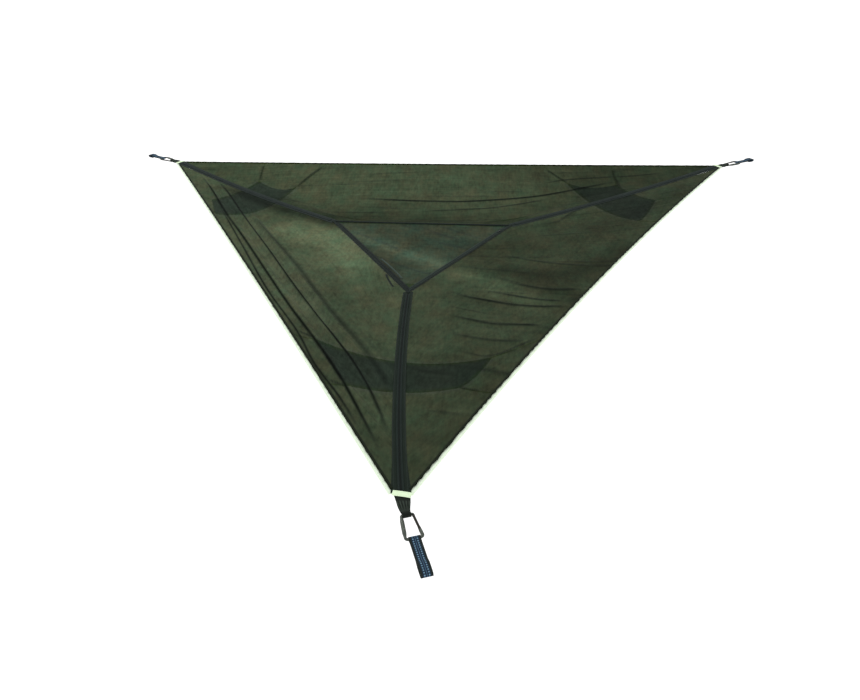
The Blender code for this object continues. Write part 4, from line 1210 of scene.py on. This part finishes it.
def corner_wrap(corner):
    """The surface of the webbing that crosses a corner."""
    ahead = level_direction(CORNER_HEADING[corner] + WRAP_TURN[corner])
    middle = plan_point(corner, WRAP_AT, WRAP_SHIFT[corner])

    def surface(along, across):
        forward = ahead * ((across - 0.5) * WRAP_WIDTH)[:, None]
        aside = np.cross(UP, ahead) * ((along - 0.5) * WRAP_LENGTH)[:, None]
        return middle + forward + aside + up(WRAP_RISE + WRAP_CROWN * arch(along))

    return surface


def build_edges():
    """The pale webbing under each edge, the dark rolled hem over it, and the corners' cross pieces."""
    for edge in EDGES:
        name = "".join(edge)
        tape("edge_webbing_" + name, edge_webbing(*edge), 120, 2, EDGE_TAPE_THICK, "edge_tape", "hammock",
             ["edge_tape_" + name])
        tape("rolled_hem_" + name, rolled_hem(*edge), 640, 3, HEM_THICK, "hem", "hammock")
    for corner in CORNERS:
        tape("cross_webbing_" + corner, corner_wrap(corner), 24, 8, EDGE_TAPE_THICK, "wrap_tape", "hammock",
             ["corner_wrap_" + corner])


def inset_corner(corner, inset):
    """A corner of the hatch's triangle moved inwards from both of its sides."""
    return inset_between(corner, {other: inset for other in CORNERS if other != corner})


def inset_between(corner, insets):
    """A corner of the hatch moved inwards from the side towards each other corner by its inset."""
    here = hatch_point(corner)
    (first, off_first), (second, off_second) = insets.items()
    to_first = unit(hatch_point(first) - here)
    to_second = unit(hatch_point(second) - here)
    sine = math.sqrt(1 - np.dot(to_first, to_second) ** 2)
    return here + (to_second * off_first + to_first * off_second) / sine


def hatch_strip(route, near, far):
    """A strip along some sides of the hatch, between two insets, mitred at its corners."""
    legs = len(route) - 1

    def surface(share, across):
        points = np.zeros((len(share), 3))
        leg_of = np.minimum((share * legs + 1e-6).astype(int), legs - 1)
        for i, (s, a, leg) in enumerate(zip(share, across, leg_of)):
            inset = near + (far - near) * a
            start = inset_corner(route[leg], inset)
            end = inset_corner(route[leg + 1], inset)
            points[i] = start + (end - start) * (s * legs - leg)
        return points

    return surface


def build_hatch_frame():
    """The hem round the opening, and the zip tape sewn inside two of its sides."""
    rise = PANEL_THICK / 2 + 2 * LAYER_GAP + EDGE_TAPE_THICK / 2
    ring = hatch_strip(("a", "b", "c", "a"), 0.0, -FRAME_TAPE_WIDTH)

    def laid(share, across):
        points = ring(share, across)
        top = SHEET.heights(ring(share, np.ones(len(share))))
        points[:, 2] = (top + HATCH_DROP) * across - HATCH_DROP + rise
        return points

    columns, rows = 144, 4
    made = grid_object("hatch_hem", laid(*shares(columns, rows)), columns, rows)
    shape = bmesh.new()
    shape.from_mesh(made.data)
    bmesh.ops.remove_doubles(shape, verts=shape.verts, dist=1e-5)
    shape.to_mesh(made.data)
    shape.free()
    thicken(made, EDGE_TAPE_THICK)
    finish_piece(made, "frame_tape", "hammock", ["hatch_frame_tape"])
    near = HATCH_EDGE_GAP
    zip_tapes("zip_tape_outer", -FRAME_OVERLAP, near + ZIP_TAPE_WIDTH, "hammock", "zip_tape_frame")
    zip_beads("zip_chain_outer", near + ZIP_TAPE_WIDTH + 0.5 * ZIP_BEAD_RADIUS, "hammock")


def zip_tapes(stem, near, far, body, node):
    """The zip's tape along the hatch's two sides; the right one is of thinner, paler cloth."""
    for leg, material in ((("a", "c"), "zip"), (("c", "b"), "zip_pale")):
        strip = hatch_strip(leg, near, far)
        tape(f"{stem}_{leg[0]}{leg[1]}", strip, 24, 4, PANEL_THICK, material, body, [node])


def zip_beads(name, inset, body, first=0):
    """One half of the zip's coil: a thin cord along the tape with a bead at every second step."""
    route = [inset_corner(corner, inset) for corner in ("a", "c", "b")]
    points = []
    swell = []
    for start, end in zip(route, route[1:]):
        count = int(np.linalg.norm(end - start) / ZIP_BEAD_STEP)
        for i in range(count):
            points.append(start + (end - start) * i / count)
            swell.append(1.0 if (i + first) % 2 else ZIP_NECK)
    made = tube_object(name, [p + PLAN_ORIGIN for p in points], ZIP_BEAD_RADIUS, swell, 1)
    return finish_piece(made, "zip_chain", body, [])


def build_hatch():
    """The flap: its panel, its zip tape and its handle."""
    near = HATCH_EDGE_GAP + ZIP_TAPE_WIDTH + ZIP_CHAIN_GAP
    far = near + ZIP_TAPE_WIDTH
    zip_tapes("zip_tape_inner", near, far, "hatch_flap", "zip_tape_flap")
    zip_beads("zip_chain_inner", near - 0.5 * ZIP_BEAD_RADIUS, "hatch_flap", first=1)
    inset = far + HATCH_EDGE_GAP
    lapped = far - 0.5 * ZIP_TAPE_WIDTH
    tip = inset_corner("c", lapped)
    left = inset_between("a", {"c": lapped, "b": HINGE_GAP})
    right = inset_between("b", {"c": lapped, "a": HINGE_GAP})
    low_left = lerp(tip, left, HATCH_TIP_CUT)
    low_right = lerp(tip, right, HATCH_TIP_CUT)
    columns, rows = 160, 160
    across, share = shares(columns, rows)
    points = lerp(lerp(low_left, low_right, across), lerp(left, right, across), share)
    points = points - up(HATCH_SAG * arch(share) * arch(across))
    # Painted light and shade over the hatch's panel
    level = lightness("hatch", points)
    # Painted shade and painted highlight along the hatch's fine streaks
    tones = streak_tones("hatch", points)
    points = points + up(STREAK_LIFT * tones * arch(across) * arch(share))
    made = grid_object("hatch_cloth", points, columns, rows, fold=tones, level=level)
    finish_piece(made, "hatch_mesh", "hatch_flap", ["hatch_panel"])
    top = inset_corner("a", inset + HANDLE_INSET)
    low = inset_corner("c", inset + HANDLE_INSET)
    across_handle = unit(np.cross(UP, top - low)) * HANDLE_WIDTH

    def handle(share, across):
        points = lerp(low, top, lerp(*HANDLE_REACH, share))
        points = points + across_handle * (across - 0.5)[:, None]
        return points + up(HANDLE_RISE + HANDLE_ARCH * arch(share))

    tape("grab_handle", handle, 30, 4, HANDLE_THICK, "handle", "hatch_flap", ["hatch_handle"])


def build_hinge():
    """The strip of mesh that the flap bends at, and the doubled patch under the zip's lowest corner."""
    outer, inner = [
        [inset_between(corner, {other: inset, "c": 0.0}) for corner, other in (("a", "b"), ("b", "a"))]
        for inset in (-FRAME_OVERLAP, HINGE_LAP)
    ]
    columns, rows = 80, 10
    across, share = shares(columns, rows)
    points = lerp(lerp(*outer, across), lerp(*inner, across), share)
    points = points + up(HINGE_RISE * (1 - 2 * share))
    # Painted shade along the hinge, which also makes it less see-through
    fold, level = (np.full(len(points), value) for value in (HINGE_PAINTED_SHADE, HINGE_PAINTED_LEVEL))
    made = grid_object("hinge_cloth", points, columns, rows, fold=fold, level=level)
    made.data.materials.append(MATERIALS["hatch_mesh"])
    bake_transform(made)
    tip = inset_corner("c", -FRAME_OVERLAP)
    sides = [tip + (hatch_point(other) - hatch_point("c")) * GUSSET_SHARE for other in ("a", "b")]

    def gusset(share, across):
        return lerp(tip, lerp(*sides, across), share) - up(GUSSET_DROP * np.minimum(1, 4 * share))

    tape("tip_gusset", gusset, 20, 12, PANEL_THICK, "zip", "hammock")


def build_tie():
    """The strip sewn outside the hatch's left side, which hangs towards its lowest corner."""
    side = unit(hatch_point("a") - hatch_point("c"))
    away = unit(np.cross(UP, side))
    first_out = FRAME_TAPE_WIDTH + TIE_OFF_FRAME + TIE_WIDTH / 2
    start = hatch_point("c") + side * TIE_FROM_CORNER + away * first_out
    rise = PANEL_THICK / 2 + LAYER_GAP + TIE_THICK / 2

    def strip(share, across):
        out = TIE_SPREAD * share + TIE_BULGE * arch(share) + (across - 0.5) * TIE_WIDTH
        points = start + away * out[:, None] - side * (TIE_RUN * share)[:, None]
        points[:, 2] = SHEET.heights(points) + rise
        return points

    tape("tie_loop", strip, 30, 4, TIE_THICK, "frame_tape", "hammock", ["hatch_tie"])


def loose_object(name, shape):
    """An object made of a shape that has been drawn."""
    mesh = bpy.data.meshes.new(name)
    shape.to_mesh(mesh)
    shape.free()
    return linked(name, mesh)


def evaluated_mesh(source):
    """An object's mesh with its modifiers or its bevel applied."""
    bpy.context.view_layer.update()
    return bpy.data.meshes.new_from_object(source.evaluated_get(bpy.context.evaluated_depsgraph_get()))


def smoothed(mesh, sharp_from):
    """Smooth shading, but for edges that turn more than some degrees."""
    mesh.shade_smooth()
    mesh.set_sharp_from_angle(angle=math.radians(sharp_from))


def cylinder(radius, start, end, sides=48, axis="Z"):
    """A round bar along an axis, between two places on it."""
    shape = bmesh.new()
    bmesh.ops.create_cone(shape, cap_ends=True, segments=sides, radius1=radius, radius2=radius,
                          depth=end - start)
    move = Matrix.Translation((0, 0, (start + end) / 2))
    turn = Matrix.Rotation(math.radians(90), 4, "Y") if axis == "X" else Matrix.Identity(4)
    bmesh.ops.transform(shape, matrix=turn @ move, verts=shape.verts)
    return loose_object("cylinder", shape)


def block(low, high):
    """A box between two corners."""
    shape = bmesh.new()
    bmesh.ops.create_cube(shape, size=1.0)
    size = Vector(high) - Vector(low)
    matrix = Matrix.Translation((Vector(low) + Vector(high)) / 2) @ Matrix.Diagonal((*size, 1.0))
    bmesh.ops.transform(shape, matrix=matrix, verts=shape.verts)
    return loose_object("block", shape)


def tube_object(name, points, radius, swell=None, resolution=4):
    """A tube with closed ends along the points, as a mesh object."""
    curve = bpy.data.curves.new(name, "CURVE")
    curve.dimensions = "3D"
    curve.bevel_depth = radius
    curve.bevel_resolution = resolution
    curve.use_fill_caps = True
    spline = curve.splines.new("POLY")
    spline.points.add(len(points) - 1)
    for i, place in enumerate(points):
        spline.points[i].co = (*place, 1.0)
        spline.points[i].radius = swell[i] if swell else 1.0
    drawn = linked(name, curve)
    mesh = evaluated_mesh(drawn)
    bpy.data.objects.remove(drawn)
    shape = bmesh.new()
    shape.from_mesh(mesh)
    bmesh.ops.remove_doubles(shape, verts=shape.verts, dist=1e-6)
    bmesh.ops.recalc_face_normals(shape, faces=shape.faces)
    made = loose_object(name, shape)
    smoothed(made.data, 50)
    return made


def combine(base, tool, operation):
    """Adds a tool to a base, or cuts it away, and removes the tool."""
    change = base.modifiers.new("combine", "BOOLEAN")
    change.operation = operation
    change.object = tool
    mesh = evaluated_mesh(base)
    base.modifiers.clear()
    base.data = mesh
    bpy.data.objects.remove(tool)


def gate_side_point(x):
    """A point on the middle line of the carabiner's gate side, from its narrow bar."""
    return Vector((x, NARROW_HALF + (BROAD_HALF - NARROW_HALF) * x / CARABINER_LENGTH, 0))


def rounded(before, corner, after, radius, steps):
    """Points of an arc that rounds off a corner."""
    to_before = (before - corner).normalized()
    to_after = (after - corner).normalized()
    half_angle = to_before.angle(to_after) / 2
    middle = corner + (to_before + to_after).normalized() * radius / math.sin(half_angle)
    reach = radius / math.tan(half_angle)
    first = (corner + to_before * reach - middle).normalized()
    last = (corner + to_after * reach - middle).normalized()
    return [middle + first.slerp(last, step / steps) * radius for step in range(steps + 1)]


def carabiner_route():
    """Middle line of the body from the gate's pin round both ends to the nose, with its swell."""
    pin = gate_side_point(PIN_AT)
    nose = gate_side_point(NOSE_AT)
    corners = (
        (Vector((0, NARROW_HALF, 0)), NARROW_BEND),
        (Vector((0, -NARROW_HALF, 0)), NARROW_BEND),
        (Vector((CARABINER_LENGTH, -BROAD_HALF, 0)), BROAD_BEND),
        (Vector((CARABINER_LENGTH, BROAD_HALF, 0)), BROAD_BEND),
    )
    stops = [pin] + [corner for corner, _ in corners] + [nose]
    points, swell = [pin], [1.0]
    for i, (corner, radius) in enumerate(corners):
        arc = rounded(stops[i], corner, stops[i + 2], radius, ARC_STEPS)
        if i == 2:
            start = points[-1]
            for step in range(1, SPINE_STEPS):
                share = step / SPINE_STEPS
                points.append(start.lerp(arc[0], share))
                swell.append(1.0 + SPINE_SWELL * float(smooth(min(share, 1 - share) / SPINE_EASE)))
        points.extend(arc)
        last_swell = NOSE_SWELL if i == 3 else 0.0
        swell.extend(1.0 + last_swell * step / (len(arc) - 1) for step in range(len(arc)))
    return points + [nose], swell + [1.0 + NOSE_SWELL]


def carabiner_body():
    """The bent rod, with a tongue and a hole for the gate's pin."""
    points, swell = carabiner_route()
    body = tube_object("body", points, ROD_RADIUS, swell, 7)
    pin = points[0]
    reach = 2 * ROD_RADIUS
    for radius, low, high, sides, operation in (
        (TONGUE_RADIUS, -TONGUE_HALF_THICK, TONGUE_HALF_THICK, 48, "UNION"),
        (SHOULDER_RADIUS, TONGUE_HALF_THICK, reach, 48, "DIFFERENCE"),
        (SHOULDER_RADIUS, -reach, -TONGUE_HALF_THICK, 48, "DIFFERENCE"),
        (PIN_HOLE_RADIUS, -reach, reach, 24, "DIFFERENCE"),
    ):
        tool = cylinder(radius, low, high, sides)
        tool.location = pin
        combine(body, tool, operation)
    return body


def carabiner_gate():
    """The gate: a rod with a forked end, a bore for its spring, and a latch with two grooves."""
    length = (gate_side_point(NOSE_AT) - gate_side_point(PIN_AT)).length - NOSE_GAP
    gate = cylinder(GATE_RADIUS, 0.0, length, 40, "X")
    latch = cylinder(LATCH_RADIUS, length - LATCH_LENGTH, length - LATCH_SHORT_OF_END, 40, "X")
    combine(gate, cylinder(GATE_END_RADIUS, -GATE_END_HALF, GATE_END_HALF), "UNION")
    combine(gate, latch, "UNION")
    for back in GATE_GROOVES_BACK:
        middle = length - back
        ring = cylinder(LATCH_RADIUS + 0.001, middle - GATE_GROOVE_HALF, middle + GATE_GROOVE_HALF, 40, "X")
        combine(ring, cylinder(LATCH_RADIUS - GATE_GROOVE_DEPTH, 0.0, length, 40, "X"), "DIFFERENCE")
        combine(gate, ring, "DIFFERENCE")
    fork = block((-CUT_CLEAR, -CUT_CLEAR, -SLOT_HALF_THICK), (SLOT_DEPTH, CUT_CLEAR, SLOT_HALF_THICK))
    combine(gate, fork, "DIFFERENCE")
    combine(gate, cylinder(BORE_RADIUS, 0.001, BORE_END, 24, "X"), "DIFFERENCE")
    combine(gate, cylinder(PIN_HOLE_RADIUS, -CUT_CLEAR, CUT_CLEAR, 24), "DIFFERENCE")
    return gate


def gate_spring():
    """The coil inside the gate's bore."""
    start = SLOT_DEPTH + SPRING_END_GAPS[0]
    end = BORE_END - SPRING_END_GAPS[1]
    steps = SPRING_TURNS * SPRING_STEPS
    points = []
    for step in range(steps + 1):
        angle = 2 * math.pi * step / SPRING_STEPS
        x = start + (end - start) * step / steps
        points.append((x, SPRING_RADIUS * math.cos(angle), SPRING_RADIUS * math.sin(angle)))
    return tube_object("spring", points, SPRING_WIRE, None, 1)


def gate_pin():
    """The rivet, with a slightly domed head at each end."""
    pin = cylinder(PIN_RADIUS, -PIN_HALF_LENGTH, PIN_HALF_LENGTH, 32)
    edge = pin.modifiers.new("heads", "BEVEL")
    edge.width = PIN_HEAD_ROUNDING
    edge.segments = 3
    edge.limit_method = "ANGLE"
    return pin


def copy_at(source, name, matrix, material, body, nodes):
    """A copy of a loose object with its place baked into its mesh."""
    mesh = evaluated_mesh(source)
    mesh.name = name
    mesh.transform(matrix)
    mesh.materials.clear()
    smoothed(mesh, 40)
    return finish_piece(linked(name, mesh), material, body, nodes)


def wrap_arc(centre_x, radius, start_angle, end_angle):
    """Points round a bar, as (x, z) pairs. Angle 0 points along +x."""
    angles = np.radians(np.linspace(start_angle, end_angle, LOOP_STEPS + 1))
    return [(centre_x + radius * math.cos(a), radius * math.sin(a)) for a in angles]


def path_grid(path, rows):
    """A path swept sideways: the grid's columns, and each point's x, z and share across.

    Extra points on the path's straight runs let pleats and ribs follow it.
    """
    stops = []
    for (x0, z0), (x1, z1) in zip(path, path[1:]):
        count = max(1, round(math.hypot(x1 - x0, z1 - z0) / PATH_STEP))
        for i in range(count):
            stops.append((x0 + (x1 - x0) * i / count, z0 + (z1 - z0) * i / count))
    stops.append(path[-1])
    columns = len(stops) - 1
    share, across = shares(columns, rows)
    x, z = np.array(stops)[np.round(share * columns).astype(int)].T
    return columns, x, z, across


def mirrored(path):
    """The path back again, on its other side."""
    return [(x, -z) for x, z in reversed(path)]


def build_tab(corner):
    """The gathered tab, doubled over the narrow bar, with pleats that run into the gather."""
    radius = ROD_RADIUS + LOOP_GAP + TAB_THICK / 2
    top = [(x, TAB_LEVEL) for x in TAB_STOPS]
    rows = 36
    columns, x, z, across = path_grid(top + wrap_arc(TAB_LENGTH, radius, 125, -125) + mirrored(top), rows)
    straight = smooth(x / TAB_STRAIGHTENS)
    heading = CORNER_HEADING[corner] + lerp(WRAP_TURN[corner], PULL_TURN[corner], straight)
    side = np.stack([-np.sin(heading), np.cos(heading), np.zeros(len(heading))], 1)
    half = TAB_ROOT_HALF + (TAB_WAIST_HALF - TAB_ROOT_HALF) * np.clip(x / TAB_WAIST_AT, 0.0, 1.0)
    half += (TAB_TIP_HALF - TAB_WAIST_HALF) * smooth((x - TAB_WAIST_AT) / TAB_TIP_EASE)
    root_shift = sideways(corner) * WRAP_SHIFT[corner]
    middle = hardware_point(corner, x) + root_shift * (1 - straight)[:, None]
    before_tip = TAB_LENGTH - x
    pleat = np.sin(2 * math.pi * TAB_PLEATS * across + TAB_PLEATS_PHASE)
    pleat *= smooth(x / TAB_PLEATS_EASE) * smooth((before_tip - TAB_PLEATS_END) / TAB_PLEATS_EASE)
    gathered = smooth((x - TAB_GATHER_FROM) / TAB_PLEATS_EASE)
    outside = np.sign(z) * TAB_PLEAT_HEIGHT * (1 + pleat) / 2 * gathered
    points = middle + side * ((across - 0.5) * 2 * half)[:, None] + up(z + outside)
    # Painted shade in the pleats' valleys, at the end round the bar and at the root under the cross webbing
    dark = np.maximum((1 - pleat) / 2, smooth((TAB_SHADE_TIP - before_tip) / TAB_SHADE_EASE))
    dark = np.maximum(dark, smooth((TAB_SHADE_ROOT - x) / TAB_SHADE_EASE))
    made = grid_object("tab_cloth_" + corner, points, columns, rows, fold=dark)
    thicken(made, TAB_THICK)
    finish_piece(made, "tab", "hammock", ["corner_tab_" + corner])


def build_strap(corner):
    """A short strap with a sewn eye at each end. x = 0 is the broad bar."""
    radius = ROD_RADIUS + LOOP_GAP + STRAP_THICK / 2
    level = STRAP_LEVEL
    opens = [(x, level + z) for x, z in STRAP_OPENS]
    eye = [(STRAP_EYE_START + x, z) for x, z in STRAP_EYE_OPENS]
    eye += [(STRAP_LENGTH + x, z) for x, z in STRAP_EYE_ENDS]
    path = [
        (STRAP_LAP_AT, level), *opens, *wrap_arc(0.0, radius, 55, 305), *mirrored(opens),
        (STRAP_STITCHED_TO, -level), (STRAP_EYE_START, -level), *eye, *mirrored(eye),
        (STRAP_EYE_START, level), (STRAP_LAP_AT + STRAP_LAP_GAP, level),
    ]
    rows = 10
    columns, x, z, across = path_grid(path, rows)
    side = np.cross(UP, level_direction(hardware_heading(corner)))
    middle = hardware_point(corner, TAB_LENGTH + CARABINER_LENGTH + x)
    points = middle + side * ((across - 0.5) * 2 * STRAP_HALF)[:, None] + up(z)
    made = grid_object("strap_webbing_" + corner, points, columns, rows)
    thicken(made, STRAP_THICK)
    finish_piece(made, "strap", "strap_" + corner, ["tree_strap_" + corner])


def build_hardware():
    """The tab, carabiner and strap of each corner, and the zip's metal."""
    taper = math.atan2(BROAD_HALF - NARROW_HALF, CARABINER_LENGTH)
    # Each steel part with its name, node, body and material, and whether it is set at the gate
    parts = (
        (carabiner_body(), "steel_body_", "carabiner_body_", "carabiner_", "steel", False),
        (carabiner_gate(), "steel_gate_", "carabiner_gate_", "gate_", "dark_steel", True),
        (gate_spring(), "coil_spring_", "gate_spring_", "gate_", "steel", True),
        (gate_pin(), "rivet_", "gate_pin_", "carabiner_", "steel", True),
    )
    to_gate = Matrix.Translation(gate_side_point(PIN_AT)) @ Matrix.Rotation(taper, 4, "Z")
    for corner in CORNERS:
        at_bar = Vector(hardware_point(corner, TAB_LENGTH) + PLAN_ORIGIN)
        bar_at = Matrix.Translation(at_bar) @ Matrix.Rotation(hardware_heading(corner), 4, "Z")
        for source, name, node, body, material, at_gate in parts:
            place = bar_at @ to_gate if at_gate else bar_at
            copy_at(source, name + corner, place, material, body + corner, [node + corner])
        build_tab(corner)
        build_strap(corner)
    for source, *_ in parts:
        bpy.data.objects.remove(source)
    for node in ("zip_slider", "zip_pull"):
        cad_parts[node].data.materials.clear()
        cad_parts[node].data.materials.append(MATERIALS["zip_metal"])


def edge_at_distance(corner, other, distance):
    """A point under the edge webbing, a distance from a corner towards another."""
    share = (distance - MESH_END) / (SIDE - 2 * MESH_END)
    under = -(PANEL_THICK / 2 + 2 * LAYER_GAP + EDGE_TAPE_THICK + LINE_RADIUS + LINE_GAP)
    if (corner, other) in EDGES:
        return edge_point(corner, other, share, LINE_END_OUT, under)
    return edge_point(other, corner, 1 - share, LINE_END_OUT, under)


def build_sling_line(corner, number, hung_from):
    """One line from a sling's corner up to the edge webbing on the same side."""
    side = 1 if number % 2 else -1
    other = next(far for far in CORNERS if far != corner and side_facing(corner, far) == side)
    end = edge_at_distance(corner, other, SLING_LINE_ENDS[corner][number])
    start = hung_from + unit(end - hung_from) * (LINE_RADIUS + PANEL_THICK + LINE_GAP)
    share = np.linspace(0, 1, LINE_POINTS)
    route = lerp(start, end, share) - up(LINE_SAG * arch(share)) + PLAN_ORIGIN
    made = tube_object(f"sling_cord_{corner}{number + 1}", route, LINE_RADIUS, None, 3)
    finish_piece(made, "line", "hammock", [f"sling_line_{corner}{number + 1}"])


def build_slings():
    """A mesh trapezoid under each corner with two hems, and four lines up to the edge webbing."""
    columns, rows = 60, 30
    across, inwards = shares(columns, rows)
    turns = SLING_RIPPLES[0] * across + SLING_RIPPLES[1] * inwards
    wave = np.sin(2 * math.pi * turns) * arch(across) * arch(inwards)
    level = np.full(len(wave), SLING_LEVEL)
    for corner in CORNERS:
        corners = sling_corners(corner)
        sling = sling_surface(corner)
        points = sling(across, inwards) + up(SLING_RIPPLE * wave)
        # fold: painted shade and painted highlight along the ripples
        made = grid_object("sling_cloth_" + corner, points, columns, rows,
                           fold=SLING_RIPPLE_PAINTED_SHADE * wave, level=level)
        finish_piece(made, "sling_mesh", "hammock", ["gear_sling_" + corner])
        for name, low, high in SLING_HEMS:
            hem = part_of(sling, low, high, SLING_HEM_RISE)
            tape(f"sling_hem_{name}_{corner}", hem, 50, 2, SLING_HEM_THICK, "band", "hammock")
        for number in range(4):
            build_sling_line(corner, number, corners[number])


def build_camera():
    """The camera that the photo was taken with, turned by its yaw, its tilt and its roll."""
    ahead = point(
        math.sin(CAMERA_YAW) * math.cos(CAMERA_DOWN),
        math.cos(CAMERA_YAW) * math.cos(CAMERA_DOWN),
        -math.sin(CAMERA_DOWN),
    )
    level = level_direction(-CAMERA_YAW)
    above = np.cross(level, ahead)
    right = level * math.cos(CAMERA_ROLL) + above * math.sin(CAMERA_ROLL)
    top = above * math.cos(CAMERA_ROLL) - level * math.sin(CAMERA_ROLL)
    lens = bpy.data.cameras.new("camera")
    lens.lens = CAMERA_LENS
    lens.sensor_width = SENSOR_WIDTH
    lens.clip_end = 200.0
    camera = linked("camera", lens)
    place = np.array(CAMERA_AT) + PLAN_ORIGIN
    turned = Matrix([(*axis, 0) for axis in (right, top, -ahead)] + [(0, 0, 0, 1)]).transposed()
    camera.matrix_world = Matrix.Translation(place) @ turned
    bpy.context.scene.camera = camera


def build_studio():
    """White floor and surroundings, and two soft lamps."""
    shape = bmesh.new()
    bmesh.ops.create_grid(shape, x_segments=1, y_segments=1, size=FLOOR_HALF)
    floor = loose_object("floor", shape)
    floor.location = FLOOR_AT
    paint = Paint("floor", 0.9, gloss=0.0)
    paint.set("Base Color", (0.30, 0.30, 0.30, 1.0))
    paint.set("Emission Color", (1.0, 1.0, 1.0, 1.0))
    paint.set("Emission Strength", 1.0)
    floor.data.materials.append(paint.material)

    world = bpy.data.worlds.new("studio")
    world.use_nodes = True
    sky = world.node_tree.nodes["Background"]
    sky.inputs[0].default_value = (1.0, 1.0, 1.0, 1.0)
    sky.inputs[1].default_value = SKY_STRENGTH
    bpy.context.scene.world = world
    bpy.context.scene.view_settings.view_transform = "Standard"
    for name, where, size, power in LAMPS:
        lamp = bpy.data.lights.new(name, "AREA")
        lamp.size = size
        lamp.energy = power
        light = linked(name, lamp)
        light.location = where
        light.rotation_euler = (Vector(LAMPS_FACE) - Vector(where)).to_track_quat("-Z", "Y").to_euler()


build_camera()
build_studio()
build_panels()
build_bands()
build_edges()
build_hatch_frame()
build_hatch()
build_hinge()
build_tie()
build_hardware()
build_slings()
